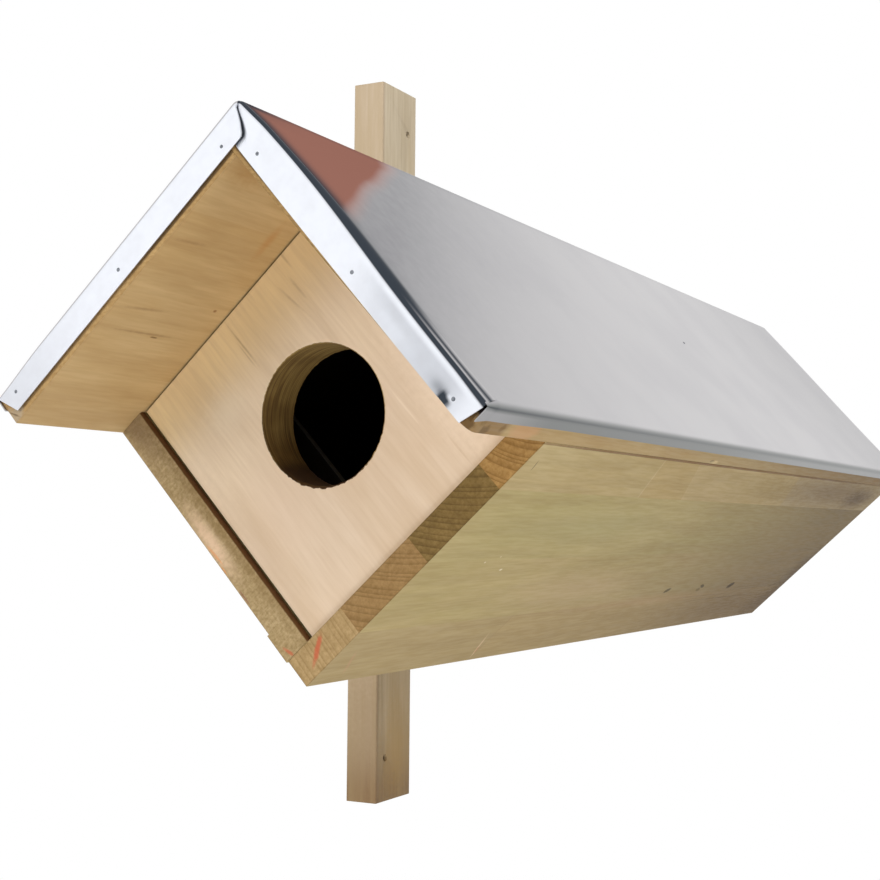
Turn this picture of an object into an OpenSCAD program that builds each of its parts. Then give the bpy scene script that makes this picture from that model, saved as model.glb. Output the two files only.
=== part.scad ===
// Little owl nest box: a square tunnel hung on its edge from an upright batten.
// +Z is up, +Y runs from the entrance to the far end, and the origin is the
// middle of the batten's outer face, which goes against the tree or wall.
// The box is drawn in its section frame: X across the right wall, Z up the left
// wall, both from the inner corner of the V, with Y = 0 at the walls' front ends.

/* [Tunnel] */
// Inner side of the square tunnel
tunnel_side = 155; // [130:1:190]
// Length of the two wall boards
wall_len = 760; // [500:5:1000]
// Thickness of the wall and roof boards
board_t = 16; // [14:0.5:24]
// Turn of the box about its length, as it hangs on the batten
hang_roll = 2.2; // [-4:0.1:4]

/* [Glued staves] */
// Width of the stave that forms the bottom edge of the right wall
right_wall_low = 40; // [25:1:50]
// Width of the top stave of the right wall
right_wall_top = 31; // [20:1:45]
// Width of the lowest stave of the left wall
left_wall_low = 17; // [10:1:40]
// Width of the top stave of the left wall
left_wall_top = 38; // [20:1:45]
// How far the lowest stave of the left wall stands proud outside
stave_step = 1.2; // [0.2:0.1:2]
// Width of the eave stave of each roof board
roof_eave_stave = 38; // [25:1:50]
// Width of the ridge stave of each roof board
roof_ridge_stave = 33; // [25:1:50]

/* [End panels] */
// Thickness of the front and back panels
panel_t = 28; // [16:1:36]
// Setback of each panel behind the ends of the walls
panel_recess = 3; // [1:0.5:10]
// Diameter of the entrance hole
entrance_d = 70; // [60:1:80]

/* [Baffle] */
// Distance from the front panel's face to the baffle
baffle_setback = 75; // [50:1:160]
// Width that the baffle takes from the left wall
baffle_w = 32; // [20:1:60]
// Thickness of the baffle
baffle_t = 5; // [3:0.5:12]

/* [Roof] */
// How far the roof reaches past the front ends of the walls
front_overhang = 78; // [30:1:120]
// Thickness of the roof sheet
sheet_t = 0.6; // [0.5:0.1:1]
// Outer radius of the sheet's bend over the ridge
ridge_r = 4; // [2:0.5:8]
// Outer radius of the sheet's bend at each eave
eave_r = 1.6; // [1.2:0.1:3]
// Outer radius of the folds into the lips
fold_r = 1; // [0.6:0.1:1]
// Depth of the sheet's turn-down at each eave
eave_drop = 8; // [5:0.5:14]
// Width of the lips folded over the ends of the roof boards
lip_w = 14; // [8:0.5:15]
// Slant of each lip's cut lower end
lip_bevel = 6; // [2:0.5:10]
// How far the left lip's lower corner laps over the right one
lip_lap = 8; // [0.5:0.5:12]

/* [Batten] */
// Height of the batten
batten_h = 504; // [400:1:700]
// Width of the batten along the box
batten_w = 48; // [38:1:70]
// Thickness of the batten
batten_t = 24; // [18:1:40]
// Radius of the batten's eased long edges
batten_ease = 1.2; // [0.5:0.1:3]
// Distance from the walls' front ends to the middle of the batten
batten_back = 312; // [200:1:400]
// How far the tunnel's middle hangs below the batten's middle
tunnel_drop = 7; // [-30:1:60]
// Gap between the left eave and the batten
seat_gap = 0.1; // [0:0.1:0.5]
// Diameter of the two screw holes
screw_hole_d = 5; // [4:0.5:8]
// Distance of each screw hole from the batten's end
screw_hole_end = 30; // [20:1:60]
// Distance of the screw holes from the batten's middle, one to each side
screw_hole_side = 12; // [0:1:14]

/* [Hidden] */
$fn = 64;
cut = 1;

// Outer edge of the boards and of the sheet, in the section frame
wood_low = -board_t;
wood_top = tunnel_side + board_t;
skin_low = wood_low - sheet_t;
skin_top = wood_top + sheet_t;

// Ends of the roof boards along the box
roof_front = -front_overhang;
roof_back = wall_len;
roof_mid = (roof_front + roof_back) / 2;

// Place of the tunnel's middle beside the batten, with the left eave against it
eave_reach = sqrt(2) * ((skin_top - skin_low) / 2 - eave_r) * cos(hang_roll) + eave_r;
tunnel_x = batten_t + seat_gap + eave_reach;

wall_colour = "#b3a273";
roof_colour = "#b89a66";
panel_colour = "#d8bea0";
batten_colour = "#c8b696";
sheet_colour = "#c3c3c6";

// Turns the section frame onto its edge and hangs it beside the batten.
module hang_box() {
    translate([tunnel_x, -batten_back, -tunnel_drop])
        rotate([0, hang_roll - 45, 0])
            translate([-tunnel_side / 2, 0, -tunnel_side / 2])
                children();
}

// Runs a section outline along the box from y0 to y1.
module run(y0, y1) {
    translate([0, y1, 0])
        rotate([90, 0, 0])
            linear_extrude(y1 - y0)
                children();
}

// A board of the section: corner at [x, z], sizes [dx, dz], from y0 to y1.
module board(x, z, dx, dz, y0, y1) {
    translate([x, y0, z])
        cube([dx, y1 - y0, dz]);
}

// What is cut off a square corner to round it, with the corner at the origin.
module corner_chip(r) {
    difference() {
        translate([-r, -r])
            square(r + cut);
        translate([-r, -r])
            circle(r);
    }
}

// Outline of the roof from wood_low to wood_top grown by skin, with round ridge and eaves.
module roof_outline(skin) {
    low = wood_low - skin;
    top = wood_top + skin;
    difference() {
        translate([low, low])
            square(top - low);
        translate([top, top])
            corner_chip(ridge_r - sheet_t + skin);
        translate([low, top])
            rotate(90)
                corner_chip(eave_r - sheet_t + skin);
        translate([top, low])
            rotate(-90)
                corner_chip(eave_r - sheet_t + skin);
    }
}

// Start of stave i of a board that is w wide, with its edge staves first and last wide.
function stave_start(i, w, first, last) =
    i == 1 ? 0 : first + (i - 2) * (w - first - last) / 2;

// Width of stave i of the same board.
function stave_width(i, w, first, last) =
    i == 1 ? first : i == 4 ? last : (w - first - last) / 2;

// The right wall runs down past the left wall to the bottom edge.
module right_wall_stave(i) {
    w = tunnel_side + board_t;
    x = wood_low + stave_start(i, w, right_wall_low, right_wall_top);
    color(wall_colour)
        hang_box()
            board(x, wood_low, stave_width(i, w, right_wall_low, right_wall_top), board_t, 0, wall_len);
}

// The left wall stands on the inner face of the right wall; its lowest stave is proud outside.
module left_wall_stave(i) {
    z = stave_start(i, tunnel_side, left_wall_low, left_wall_top);
    step = i == 1 ? stave_step : 0;
    color(wall_colour)
        hang_box()
            board(wood_low - step, z, board_t + step,
                stave_width(i, tunnel_side, left_wall_low, left_wall_top), 0, wall_len);
}

// The right roof board runs from its eave up to the ridge.
module right_roof_stave(i) {
    w = wood_top - wood_low;
    z = wood_low + stave_start(i, w, roof_eave_stave, roof_ridge_stave);
    color(roof_colour)
        hang_box()
            intersection() {
                board(tunnel_side, z, board_t, stave_width(i, w, roof_eave_stave, roof_ridge_stave),
                    roof_front, roof_back);
                run(roof_front - cut, roof_back + cut)
                    roof_outline(0);
            }
}

// The left roof board butts against the right one under the ridge.
module left_roof_stave(i) {
    w = tunnel_side - wood_low;
    x = wood_low + stave_start(i, w, roof_eave_stave, roof_ridge_stave);
    color(roof_colour)
        hang_box()
            intersection() {
                board(x, tunnel_side, stave_width(i, w, roof_eave_stave, roof_ridge_stave), board_t,
                    roof_front, roof_back);
                run(roof_front - cut, roof_back + cut)
                    roof_outline(0);
            }
}

// Front panel with the round entrance at its middle.
module front_panel() {
    color(panel_colour)
        hang_box()
            difference() {
                board(0, 0, tunnel_side, tunnel_side, panel_recess, panel_recess + panel_t);
                translate([tunnel_side / 2, panel_recess - cut, tunnel_side / 2])
                    rotate([-90, 0, 0])
                        cylinder(d = entrance_d, h = panel_t + 2 * cut, $fn = 96);
            }
}

// Closed panel at the far end.
module back_panel() {
    y1 = wall_len - panel_recess;
    color(panel_colour)
        hang_box()
            board(0, 0, tunnel_side, tunnel_side, y1 - panel_t, y1);
}

// Low partition along the left wall, between the entrance and the nest space.
module baffle() {
    y0 = panel_recess + baffle_setback;
    color(panel_colour)
        hang_box()
            board(0, 0, baffle_w, tunnel_side, y0, y0 + baffle_t);
}

// Both slopes with their ridge bend and the turn-downs at the eaves.
module sheet_section() {
    reach = skin_top - skin_low;
    intersection() {
        difference() {
            roof_outline(sheet_t);
            roof_outline(0);
        }
        union() {
            translate([skin_low, skin_top - eave_drop])
                square([reach, eave_drop]);
            translate([skin_top - eave_drop, skin_low])
                square([eave_drop, reach]);
        }
    }
}

// Everything on the left slope's side of the line from the ridge down the middle.
module left_of_ridge() {
    polygon([[skin_low - cut, skin_low - cut], [skin_top + cut, skin_top + cut], [skin_low - cut, skin_top + cut]]);
}

// Outline of the left lip; its upper end laps over the right lip.
module left_lip() {
    inner = skin_top - lip_w;
    intersection() {
        roof_outline(sheet_t);
        polygon([[skin_low, skin_top], [skin_low + lip_bevel, inner], [inner + lip_lap, inner], [skin_top, skin_top]]);
    }
}

// Outline of the right lip, which ends under the left one.
module right_lip() {
    inner = skin_top - lip_w;
    intersection() {
        roof_outline(sheet_t);
        polygon([[skin_top, skin_low], [inner, skin_low + lip_bevel], [inner, inner], [skin_top, skin_top]]);
    }
}

// What is cut off the sharp outer edge where a slope turns into its lip at y.
module fold_chip(y) {
    translate([skin_low - cut, y, skin_top])
        rotate([90, 0, 90])
            linear_extrude(skin_top - skin_low + 2 * cut)
                rotate(90)
                    corner_chip(fold_r);
}

// Front end of the sheet: the slopes reach the folds and turn down as two lips.
module sheet_front() {
    right_face = roof_front - sheet_t;
    left_face = right_face - sheet_t;
    difference() {
        union() {
            run(right_face, roof_front) {
                difference() {
                    sheet_section();
                    left_of_ridge();
                }
                right_lip();
            }
        }
        mirror([1, 0, -1])
            fold_chip(right_face);
    }
    difference() {
        union() {
            run(left_face, roof_front)
                intersection() {
                    sheet_section();
                    left_of_ridge();
                }
            run(left_face, right_face)
                left_lip();
        }
        fold_chip(left_face);
    }
}

// One folded sheet: two slopes, two turned-down eaves and two lips at each end.
module roof_sheet() {
    color(sheet_colour)
        hang_box()
            union() {
                run(roof_front, roof_back)
                    sheet_section();
                sheet_front();
                translate([0, 2 * roof_mid, 0])
                    mirror([0, 1, 0])
                        sheet_front();
            }
}

// Upright batten with a screw hole near each end.
module mounting_batten() {
    color(batten_colour)
        difference() {
            translate([0, 0, -batten_h / 2])
                linear_extrude(batten_h)
                    difference() {
                        translate([0, -batten_w / 2])
                            square([batten_t, batten_w]);
                        for (corner = [[0, -1, 180], [0, 1, 90], [1, -1, -90], [1, 1, 0]])
                            translate([corner[0] * batten_t, corner[1] * batten_w / 2])
                                rotate(corner[2])
                                    corner_chip(batten_ease);
                    }
            for (end = [-1, 1])
                translate([-cut, end * screw_hole_side, end * (batten_h / 2 - screw_hole_end)])
                    rotate([0, 90, 0])
                        cylinder(d = screw_hole_d, h = batten_t + 2 * cut);
        }
}

front_panel();
back_panel();
baffle();
for (i = [1:4]) {
    right_wall_stave(i);
    left_wall_stave(i);
    right_roof_stave(i);
    left_roof_stave(i);
}
roof_sheet();
mounting_batten();
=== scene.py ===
"""Looks of the little owl nest box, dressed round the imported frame.

The box is a square tunnel hung on its edge. Its boards are laid out in a section
frame: u runs across the right wall and v up the left wall, both from the inner
corner of the V, and y runs along the box from the walls' front ends. Lengths are
in metres, and colours are written as a paint card gives them, 0 to 255.
"""

import logging
import math
from dataclasses import dataclass, field, replace
from enum import Enum

import bmesh
import bpy
from mathutils import Matrix, Vector, noise


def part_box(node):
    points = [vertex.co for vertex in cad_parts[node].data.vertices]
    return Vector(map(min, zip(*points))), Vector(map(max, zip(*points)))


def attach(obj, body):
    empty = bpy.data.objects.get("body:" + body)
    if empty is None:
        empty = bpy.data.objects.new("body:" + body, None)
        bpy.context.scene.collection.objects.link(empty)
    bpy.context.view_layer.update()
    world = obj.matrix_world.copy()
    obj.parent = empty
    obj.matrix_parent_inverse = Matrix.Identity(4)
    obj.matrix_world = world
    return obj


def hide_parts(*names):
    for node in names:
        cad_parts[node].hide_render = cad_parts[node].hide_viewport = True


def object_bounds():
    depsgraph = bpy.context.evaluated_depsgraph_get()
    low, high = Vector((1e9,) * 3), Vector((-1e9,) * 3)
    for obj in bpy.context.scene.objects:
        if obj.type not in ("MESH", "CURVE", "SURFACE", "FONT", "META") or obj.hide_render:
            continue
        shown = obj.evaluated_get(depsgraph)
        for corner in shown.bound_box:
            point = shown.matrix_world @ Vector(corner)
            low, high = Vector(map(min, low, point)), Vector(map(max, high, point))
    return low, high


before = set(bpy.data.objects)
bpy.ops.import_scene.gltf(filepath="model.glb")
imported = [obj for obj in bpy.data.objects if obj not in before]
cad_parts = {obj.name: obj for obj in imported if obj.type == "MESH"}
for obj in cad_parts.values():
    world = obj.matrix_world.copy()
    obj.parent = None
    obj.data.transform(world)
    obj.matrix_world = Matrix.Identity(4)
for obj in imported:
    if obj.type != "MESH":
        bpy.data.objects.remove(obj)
CAD_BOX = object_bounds()

log = logging.getLogger("owl_nest_box")
logging.basicConfig(level=logging.INFO, format="%(name)s: %(message)s")

MM = 0.001
BODY = "root"
WHITE = (1.0, 1.0, 1.0, 1.0)

Colour = tuple[int, int, int]
Pair = tuple[float, float]
Triple = tuple[float, float, float]
Span = tuple[Vector, Vector]
Socket = bpy.types.NodeSocket
Node = bpy.types.Node
Sockets = bpy.types.bpy_prop_collection
Tree = bpy.types.NodeTree
Material = bpy.types.Material
Mesh = bpy.types.Mesh
Piece = bpy.types.Object
Vert = bmesh.types.BMVert
Shape = bmesh.types.BMesh


def tone(colour: Colour) -> tuple[float, ...]:
    """Turns a card colour into Blender's linear one by the sRGB curve, with full opacity."""
    shares = [part / 255 for part in colour]
    return (*(s / 12.92 if s <= 0.04045 else ((s + 0.055) / 1.055) ** 2.4 for s in shares), 1.0)


def ease(value: float, start: float, stop: float) -> float:
    """A smooth step from 0 at start to 1 at stop."""
    share = max(0.0, min(1.0, (value - start) / (stop - start)))
    return share * share * (3.0 - 2.0 * share)


def fall(value: float, start: float, stop: float) -> float:
    """A smooth step from 1 at start to 0 at stop."""
    return 1.0 - ease(value, start, stop)


def bell(value: float, middle: float, width: float) -> float:
    """A smooth hump, 1 at its middle."""
    return math.exp(-(((value - middle) / width) ** 2))


class Grain(Enum):
    """Which way the fibres of a piece of wood run."""

    ALONG_BOX = "along the box"
    UP_LEFT_WALL = "up the left wall"
    UPRIGHT = "upright"


class Side(Enum):
    """A side of a board, as the direction it faces in the section frame."""

    U_LOW = (-1, 0, 0)
    U_HIGH = (1, 0, 0)
    Y_LOW = (0, -1, 0)
    Y_HIGH = (0, 1, 0)
    V_LOW = (0, 0, -1)
    V_HIGH = (0, 0, 1)


class Axis(Enum):
    """An axis of a frame; in the section frame X is u and Z is v."""

    X = 0
    Y = 1
    Z = 2


class End(Enum):
    """The two ends of the box."""

    FRONT = 1
    BACK = -1


# ---------------------------------------------------------------- section frame


@dataclass(frozen=True)
class Section:
    """The frame of the tunnel's square section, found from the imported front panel."""

    corner: Vector
    turn: float
    side: float

    @classmethod
    def from_frame(cls) -> "Section":
        """Reads the section's place and turn from the front panel's corners."""
        points = [v.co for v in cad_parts["front_panel"].data.vertices]
        low = min(points, key=lambda p: p.z)
        out = max(points, key=lambda p: p.x)
        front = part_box("right_wall_stave_1")[0].y
        return cls(
            Vector((low.x, front, low.z)),
            math.atan2(out.z - low.z, out.x - low.x),
            math.hypot(out.z - low.z, out.x - low.x),
        )

    @property
    def room(self) -> Span:
        """Lowest and highest corner of the dark space behind the front panel."""
        panel, back = self.span("front_panel")[1], self.span("back_panel")[0]
        return Vector((0.0, panel.y, 0.0)), Vector((self.side, back.y, self.side))

    @property
    def to_row(self) -> Matrix:
        """Matrix from the section frame to the row frame."""
        return Matrix.Translation(self.corner) @ Matrix.Rotation(-self.turn, 4, "Y")

    def span(self, node: str) -> Span:
        """Lowest and highest corner of a CAD node in the section frame.

        Args:
            node: Name of the CAD node.

        Returns:
            The two corners, in metres.
        """
        back = self.to_row.inverted()
        points = [back @ v.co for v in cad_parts[node].data.vertices]
        low = Vector(min(p[i] for p in points) for i in range(3))
        high = Vector(max(p[i] for p in points) for i in range(3))
        return low, high


# ---------------------------------------------------------------- node building


class Graph:
    """A node tree under construction, with short ways to add and join nodes."""

    def __init__(self, tree: Tree) -> None:
        """Starts on an empty tree."""
        self.tree = tree

    def add(self, kind: str, inputs: dict | None = None, **settings: object) -> Node:
        """Adds a node, sets its properties, and sets or joins its inputs.

        Args:
            kind: Blender's name for the node type.
            inputs: Values or sockets, by input name or number.
            settings: Properties of the node.

        Returns:
            The new node.
        """
        node = self.tree.nodes.new(kind)
        for name, value in settings.items():
            setattr(node, name, value)
        for key, value in (inputs or {}).items():
            if isinstance(value, Socket):
                self.tree.links.new(value, node.inputs[key])
            else:
                node.inputs[key].default_value = value
        return node

    def math(self, operation: str, *values: object) -> Socket:
        """Result of a Math node on one to three values."""
        return self.add("ShaderNodeMath", dict(enumerate(values)), operation=operation).outputs[0]

    def vector(self, operation: str, *values: object) -> Socket:
        """Result of a Vector Math node; LENGTH gives its value output."""
        node = self.add("ShaderNodeVectorMath", dict(enumerate(values)), operation=operation)
        return node.outputs["Value" if operation == "LENGTH" else "Vector"]

    def split(self, vector: object) -> Sockets:
        """The three parts of a vector, by X, Y and Z."""
        return self.add("ShaderNodeSeparateXYZ", {0: vector}).outputs

    def ramp(
        self, value: object, start: object, stop: float, low: float = 0.0, high: float = 1.0
    ) -> Socket:
        """A smooth step.

        Args:
            value: What the step is taken of.
            start: Where it starts.
            stop: Where it ends.
            low: Result at its start.
            high: Result at its end.

        Returns:
            The result.
        """
        ends = {"From Min": start, "From Max": stop, "To Min": low, "To Max": high}
        inputs = {"Value": value, **ends}
        return self.add("ShaderNodeMapRange", inputs, interpolation_type="SMOOTHSTEP").outputs[0]

    def noise(
        self, place: object, stretch: Triple, seed: object, detail: float = 2.0, rough: float = 0.5
    ) -> Node:
        """A 4-D noise.

        Args:
            place: Where it is read.
            stretch: How fine it is along each axis.
            seed: Its seed.
            detail: How many finer layers it has.
            rough: How much they show.

        Returns:
            The noise node.
        """
        scaled = self.vector("MULTIPLY", place, stretch)
        inputs = {"Vector": scaled, "W": seed, "Scale": 1.0, "Detail": detail, "Roughness": rough}
        return self.add("ShaderNodeTexNoise", inputs, noise_dimensions="4D")

    def cloud(self, place: object, stretch: Triple, seed: object, *detail: float) -> Socket:
        """Value of a noise, from 0 to 1."""
        return self.noise(place, stretch, seed, *detail).outputs["Fac"]

    def jitter(self, place: object, scale: float, seed: object) -> Socket:
        """Value of a fine even noise about 0, to make a rim ragged."""
        return self.math("SUBTRACT", self.cloud(place, (scale,) * 3, seed, 3.0), 0.5)

    def mix(self, share: object, first: object, second: object) -> Socket:
        """Mixes two colours, each a socket or a card colour.

        Args:
            share: Share of the second colour, from 0 to 1.
            first: First colour.
            second: Second colour.

        Returns:
            The mixed colour.
        """
        ends = [tone(end) if isinstance(end, tuple) else end for end in (first, second)]
        inputs = {0: share, 6: ends[0], 7: ends[1]}
        return self.add("ShaderNodeMix", inputs, data_type="RGBA").outputs[2]

    def group(self, tree: Tree, inputs: dict) -> Sockets:
        """Places a node group with its own values and gives its outputs."""
        return self.add("ShaderNodeGroup", inputs, node_tree=tree).outputs

    def bump(self, strength: float, depth: float, height: Socket) -> Socket:
        """Normals that follow a height, with relief of a given depth."""
        inputs = {"Strength": strength, "Distance": depth, "Height": height}
        return self.add("ShaderNodeBump", inputs).outputs[0]

    def seen(self) -> Socket:
        """1 for rays from the camera, gloss or glass, and 0 for light that only fills."""
        rays = self.add("ShaderNodeLightPath").outputs
        direct = self.math("MAXIMUM", rays["Is Camera Ray"], rays["Is Glossy Ray"])
        return self.math("MAXIMUM", direct, rays["Is Transmission Ray"])

    def fill(self, outputs: Sockets, **values: Socket) -> Tree:
        """Joins values to a group's named outputs and gives the finished group."""
        for name, value in values.items():
            self.tree.links.new(value, outputs[name])
        return self.tree


class Coat(Graph):
    """A material under construction, with a point's place and the colour so far."""

    def __init__(self, name: str, section: Section | None = None) -> None:
        """Starts an empty material.

        Args:
            name: Name of the material.
            section: The section frame, if the material is laid out in it.
        """
        self.material = bpy.data.materials.new(name)
        self.material.use_nodes = True
        self.material.node_tree.nodes.clear()
        super().__init__(self.material.node_tree)
        self.place = self.add("ShaderNodeTexCoord").outputs["Object"]
        self.colour: object = None
        if section is not None:
            back = section.to_row.inverted()
            way = {"Location": back.translation, "Rotation": back.to_euler()}
            self.place = self.add("ShaderNodeMapping", {"Vector": self.place} | way).outputs[0]

    def lay(self, share: Socket, colour: Colour) -> None:
        """Lays a colour over the one so far, by a share from 0 to 1."""
        self.colour = self.mix(share, self.colour, colour)

    def tint(self, mask: Socket, share: float, colour: Colour) -> None:
        """Lays a colour over the one so far, by a mask times a share."""
        self.lay(self.math("MULTIPLY", mask, share), colour)

    def surface(self, normal: Socket | None = None, **values: object) -> Material:
        """Ends the material with one Principled shader.

        Args:
            normal: Its normals, where it has relief.
            values: Its other inputs; an underscore in a name is a space.

        Returns:
            The material.
        """
        inputs = {"Base Color": self.colour} | ({"Normal": normal} if normal else {})
        inputs |= {name.replace("_", " "): value for name, value in values.items()}
        body = self.add("ShaderNodeBsdfPrincipled", inputs)
        self.add("ShaderNodeOutputMaterial", {"Surface": body.outputs[0]})
        return self.material


def new_group(
    name: str, vectors: tuple[str, ...], values: tuple[str, ...], outputs: tuple[str, ...]
) -> tuple[Graph, Sockets, Sockets]:
    """Starts a shader node group with named sockets.

    Args:
        name: Name of the group.
        vectors: Names of its vector inputs.
        values: Names of its value inputs.
        outputs: Names of its value outputs.

    Returns:
        The graph to build in, the sockets that come in, and the outputs to fill.
    """
    tree = bpy.data.node_groups.new(name, "ShaderNodeTree")
    sides = ((vectors, "INPUT", "Vector"), (values, "INPUT", "Float"), (outputs, "OUTPUT", "Float"))
    for names, way, kind in sides:
        for socket in names:
            tree.interface.new_socket(socket, in_out=way, socket_type=f"NodeSocket{kind}")
    g = Graph(tree)
    return g, g.add("NodeGroupInput").outputs, g.add("NodeGroupOutput").inputs


@dataclass(frozen=True)
class GrainLayer:
    """One layer of a wood's grain: how it is stretched, and where it starts and ends to show."""

    output: str
    stretch: Triple
    seed_shift: float
    detail: float
    rough: float
    start: float
    stop: float


class Effects:
    """The effects that several finishes share, each one a node group built once."""

    LAYERS = (
        GrainLayer("Streaks", (150.0, 13.0, 150.0), 3.0, 3.0, 0.55, 0.36, 0.66),
        GrainLayer("Fibres", (560.0, 40.0, 560.0), 7.0, 2.0, 0.6, 0.34, 0.68),
        GrainLayer("Drift", (20.0, 6.5, 20.0), 11.0, 4.0, 0.62, 0.34, 0.66),
    )
    SWAY = (9.0, 1.6, 9.0)
    YEARS_APART = 0.45
    YEARS_UNEVEN = 1.8
    LATE_WOOD = 2.2
    RIM_GRAIN = 240.0
    RIM_RAGGED = 1.6
    MARK_GRAIN = 330.0
    ROOM_EDGE = (-0.5 * MM, -0.2 * MM)
    SEAM_CORE = 0.3
    BLOCK_EDGE = 0.4 * MM

    def __init__(self) -> None:
        """Builds every group."""
        self.grain = self.build_grain()
        self.edges = self.build_edges()
        self.mark = self.build_mark()
        self.joint = self.build_joint()
        self.inside = self.build_inside()

    def build_grain(self) -> Tree:
        """Solid wood: growth rings about a heart, streaks, fibres and slow drift of tone."""
        values = ("Heart X", "Heart Z", "Ring Width", "Wander", "Seed")
        outputs = ("Rings", *(layer.output for layer in self.LAYERS))
        g, given, out = new_group("wood_grain", ("Vector",), values, outputs)
        place, seed = given["Vector"], given["Seed"]
        sway = g.vector("SUBTRACT", g.noise(place, self.SWAY, seed).outputs["Color"], (0.5,) * 3)
        scaled = {0: sway, "Scale": given["Wander"]}
        moved = g.add("ShaderNodeVectorMath", scaled, operation="SCALE").outputs["Vector"]
        bent = g.split(g.vector("ADD", place, moved))
        flat = {axis: g.math("SUBTRACT", bent[axis], given[f"Heart {axis}"]) for axis in "XZ"}
        from_heart = g.vector("LENGTH", g.add("ShaderNodeCombineXYZ", flat).outputs[0])
        count = g.math("DIVIDE", from_heart, given["Ring Width"])
        slow = g.math("MULTIPLY_ADD", count, self.YEARS_APART, seed)
        line = {"W": slow, "Scale": 1.0, "Detail": 1.0}
        years = g.add("ShaderNodeTexNoise", line, noise_dimensions="1D").outputs["Fac"]
        phase = g.math("FRACT", g.math("MULTIPLY_ADD", years, self.YEARS_UNEVEN, count))
        late = g.math("POWER", phase, self.LATE_WOOD)
        made = {"Rings": g.math("MULTIPLY", late, g.ramp(phase, 0.88, 1.0, 1.0, 0.0))}
        for layer in self.LAYERS:
            shifted = g.math("ADD", seed, layer.seed_shift)
            cloud = g.cloud(place, layer.stretch, shifted, layer.detail, layer.rough)
            made[layer.output] = g.ramp(cloud, layer.start, layer.stop)
        return g.fill(out, **made)

    @staticmethod
    def inset(g: Graph, given: Sockets) -> list[Socket]:
        """How far a point lies within a block's sides.

        Args:
            g: The graph to build in.
            given: The group's inputs.

        Returns:
            The distance along each axis.
        """
        offset = g.vector("ABSOLUTE", g.vector("SUBTRACT", given["Vector"], given["Centre"]))
        parts = g.split(g.vector("SUBTRACT", given["Half Size"], offset))
        return [parts[axis] for axis in "XYZ"]

    def build_edges(self) -> Tree:
        """How near a point of a square board is to one of the board's edges."""
        blocks = ("Vector", "Centre", "Half Size")
        g, given, out = new_group("board_edges", blocks, ("Width", "Seed"), ("Mask",))
        a, b, c = self.inset(g, given)
        least, most = g.math("MINIMUM", a, b), g.math("MAXIMUM", a, b)
        near = g.math("MAXIMUM", least, g.math("MINIMUM", most, c))
        shift = g.jitter(given["Vector"], self.RIM_GRAIN, given["Seed"])
        wide = g.math("MULTIPLY", shift, self.RIM_RAGGED)
        share = g.math("DIVIDE", g.math("MULTIPLY_ADD", wide, given["Width"], near), given["Width"])
        return g.fill(out, Mask=g.ramp(share, 0.0, 1.0, 1.0, 0.0))

    def build_mark(self) -> Tree:
        """A soft oval spot with a ragged rim, for knots, stains and bruises."""
        vectors = ("Vector", "Place", "Size", "Turn")
        g, given, out = new_group("mark", vectors, ("Softness", "Ragged"), ("Mask",))
        away = g.vector("SUBTRACT", given["Vector"], given["Place"])
        way = {"Vector": away, "Rotation": given["Turn"]}
        turned = g.add("ShaderNodeVectorRotate", way, rotation_type="EULER_XYZ", invert=True)
        reach = g.vector("LENGTH", g.vector("DIVIDE", turned.outputs[0], given["Size"]))
        shift = g.jitter(given["Vector"], self.MARK_GRAIN, 2.0)
        ragged = g.math("MULTIPLY_ADD", shift, given["Ragged"], reach)
        core = g.math("SUBTRACT", 1.0, given["Softness"])
        return g.fill(out, Mask=g.ramp(ragged, core, 1.0, 1.0, 0.0))

    def build_inside(self) -> Tree:
        """Whether a point lies in or on a square space, such as the inside of the box."""
        blocks = ("Vector", "Centre", "Half Size")
        g, given, out = new_group("inside_space", blocks, (), ("Mask",))
        a, b, c = self.inset(g, given)
        least = g.math("MINIMUM", g.math("MINIMUM", a, b), c)
        return g.fill(out, Mask=g.ramp(least, *self.ROOM_EDGE))

    def build_joint(self) -> Tree:
        """A slanted joint between two blocks of a glued stave."""
        values = ("Across", "Start", "Slant", "Line")
        g, given, out = new_group("block_joint", ("Vector",), values, ("After", "Seam"))
        parts = g.split(given["Vector"])
        side = g.math("SUBTRACT", parts["X"], given["Across"])
        along = g.math("SUBTRACT", parts["Y"], given["Start"])
        past = g.math("MULTIPLY_ADD", side, given["Slant"], along)
        share = g.math("DIVIDE", g.math("ABSOLUTE", past), given["Line"])
        after = g.ramp(past, -self.BLOCK_EDGE, self.BLOCK_EDGE)
        return g.fill(out, After=after, Seam=g.ramp(share, self.SEAM_CORE, 1.0, 1.0, 0.0))


# ---------------------------------------------------------------- finishes


@dataclass(frozen=True)
class Mark:
    """A knot, a stained spot or a bruise: where it lies, how large, and what it does to the colour.
    """

    place: Triple
    size: Triple
    colour: Colour
    strength: float = 0.8
    turn: Triple = (0.0, 0.0, 0.0)
    softness: float = 0.6
    ragged: float = 0.6

    def touches(self, low: Vector, high: Vector) -> bool:
        """Whether the mark reaches a board.

        Args:
            low: The board's lowest corner.
            high: Its highest corner.

        Returns:
            True if it does.
        """
        spans = self.size
        if any(self.turn):
            wide = max(spans[0], spans[2])
            spans = (wide, max(spans[1], wide), wide)
        return all(low[k] - spans[k] < self.place[k] < high[k] + spans[k] for k in range(3))


@dataclass(frozen=True)
class Block:
    """A block of a glued stave: where it starts along the box, and its tone."""

    start: float
    slant: float
    colour: Colour
    share: float
    seam: Colour
    seam_width: float = 1.2 * MM
    across: float = 155 * MM


@dataclass(frozen=True)
class Fade:
    """A slow change of colour along one axis of the board's frame."""

    axis: Axis
    start: float
    stop: float
    colour: Colour
    share: float


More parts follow.
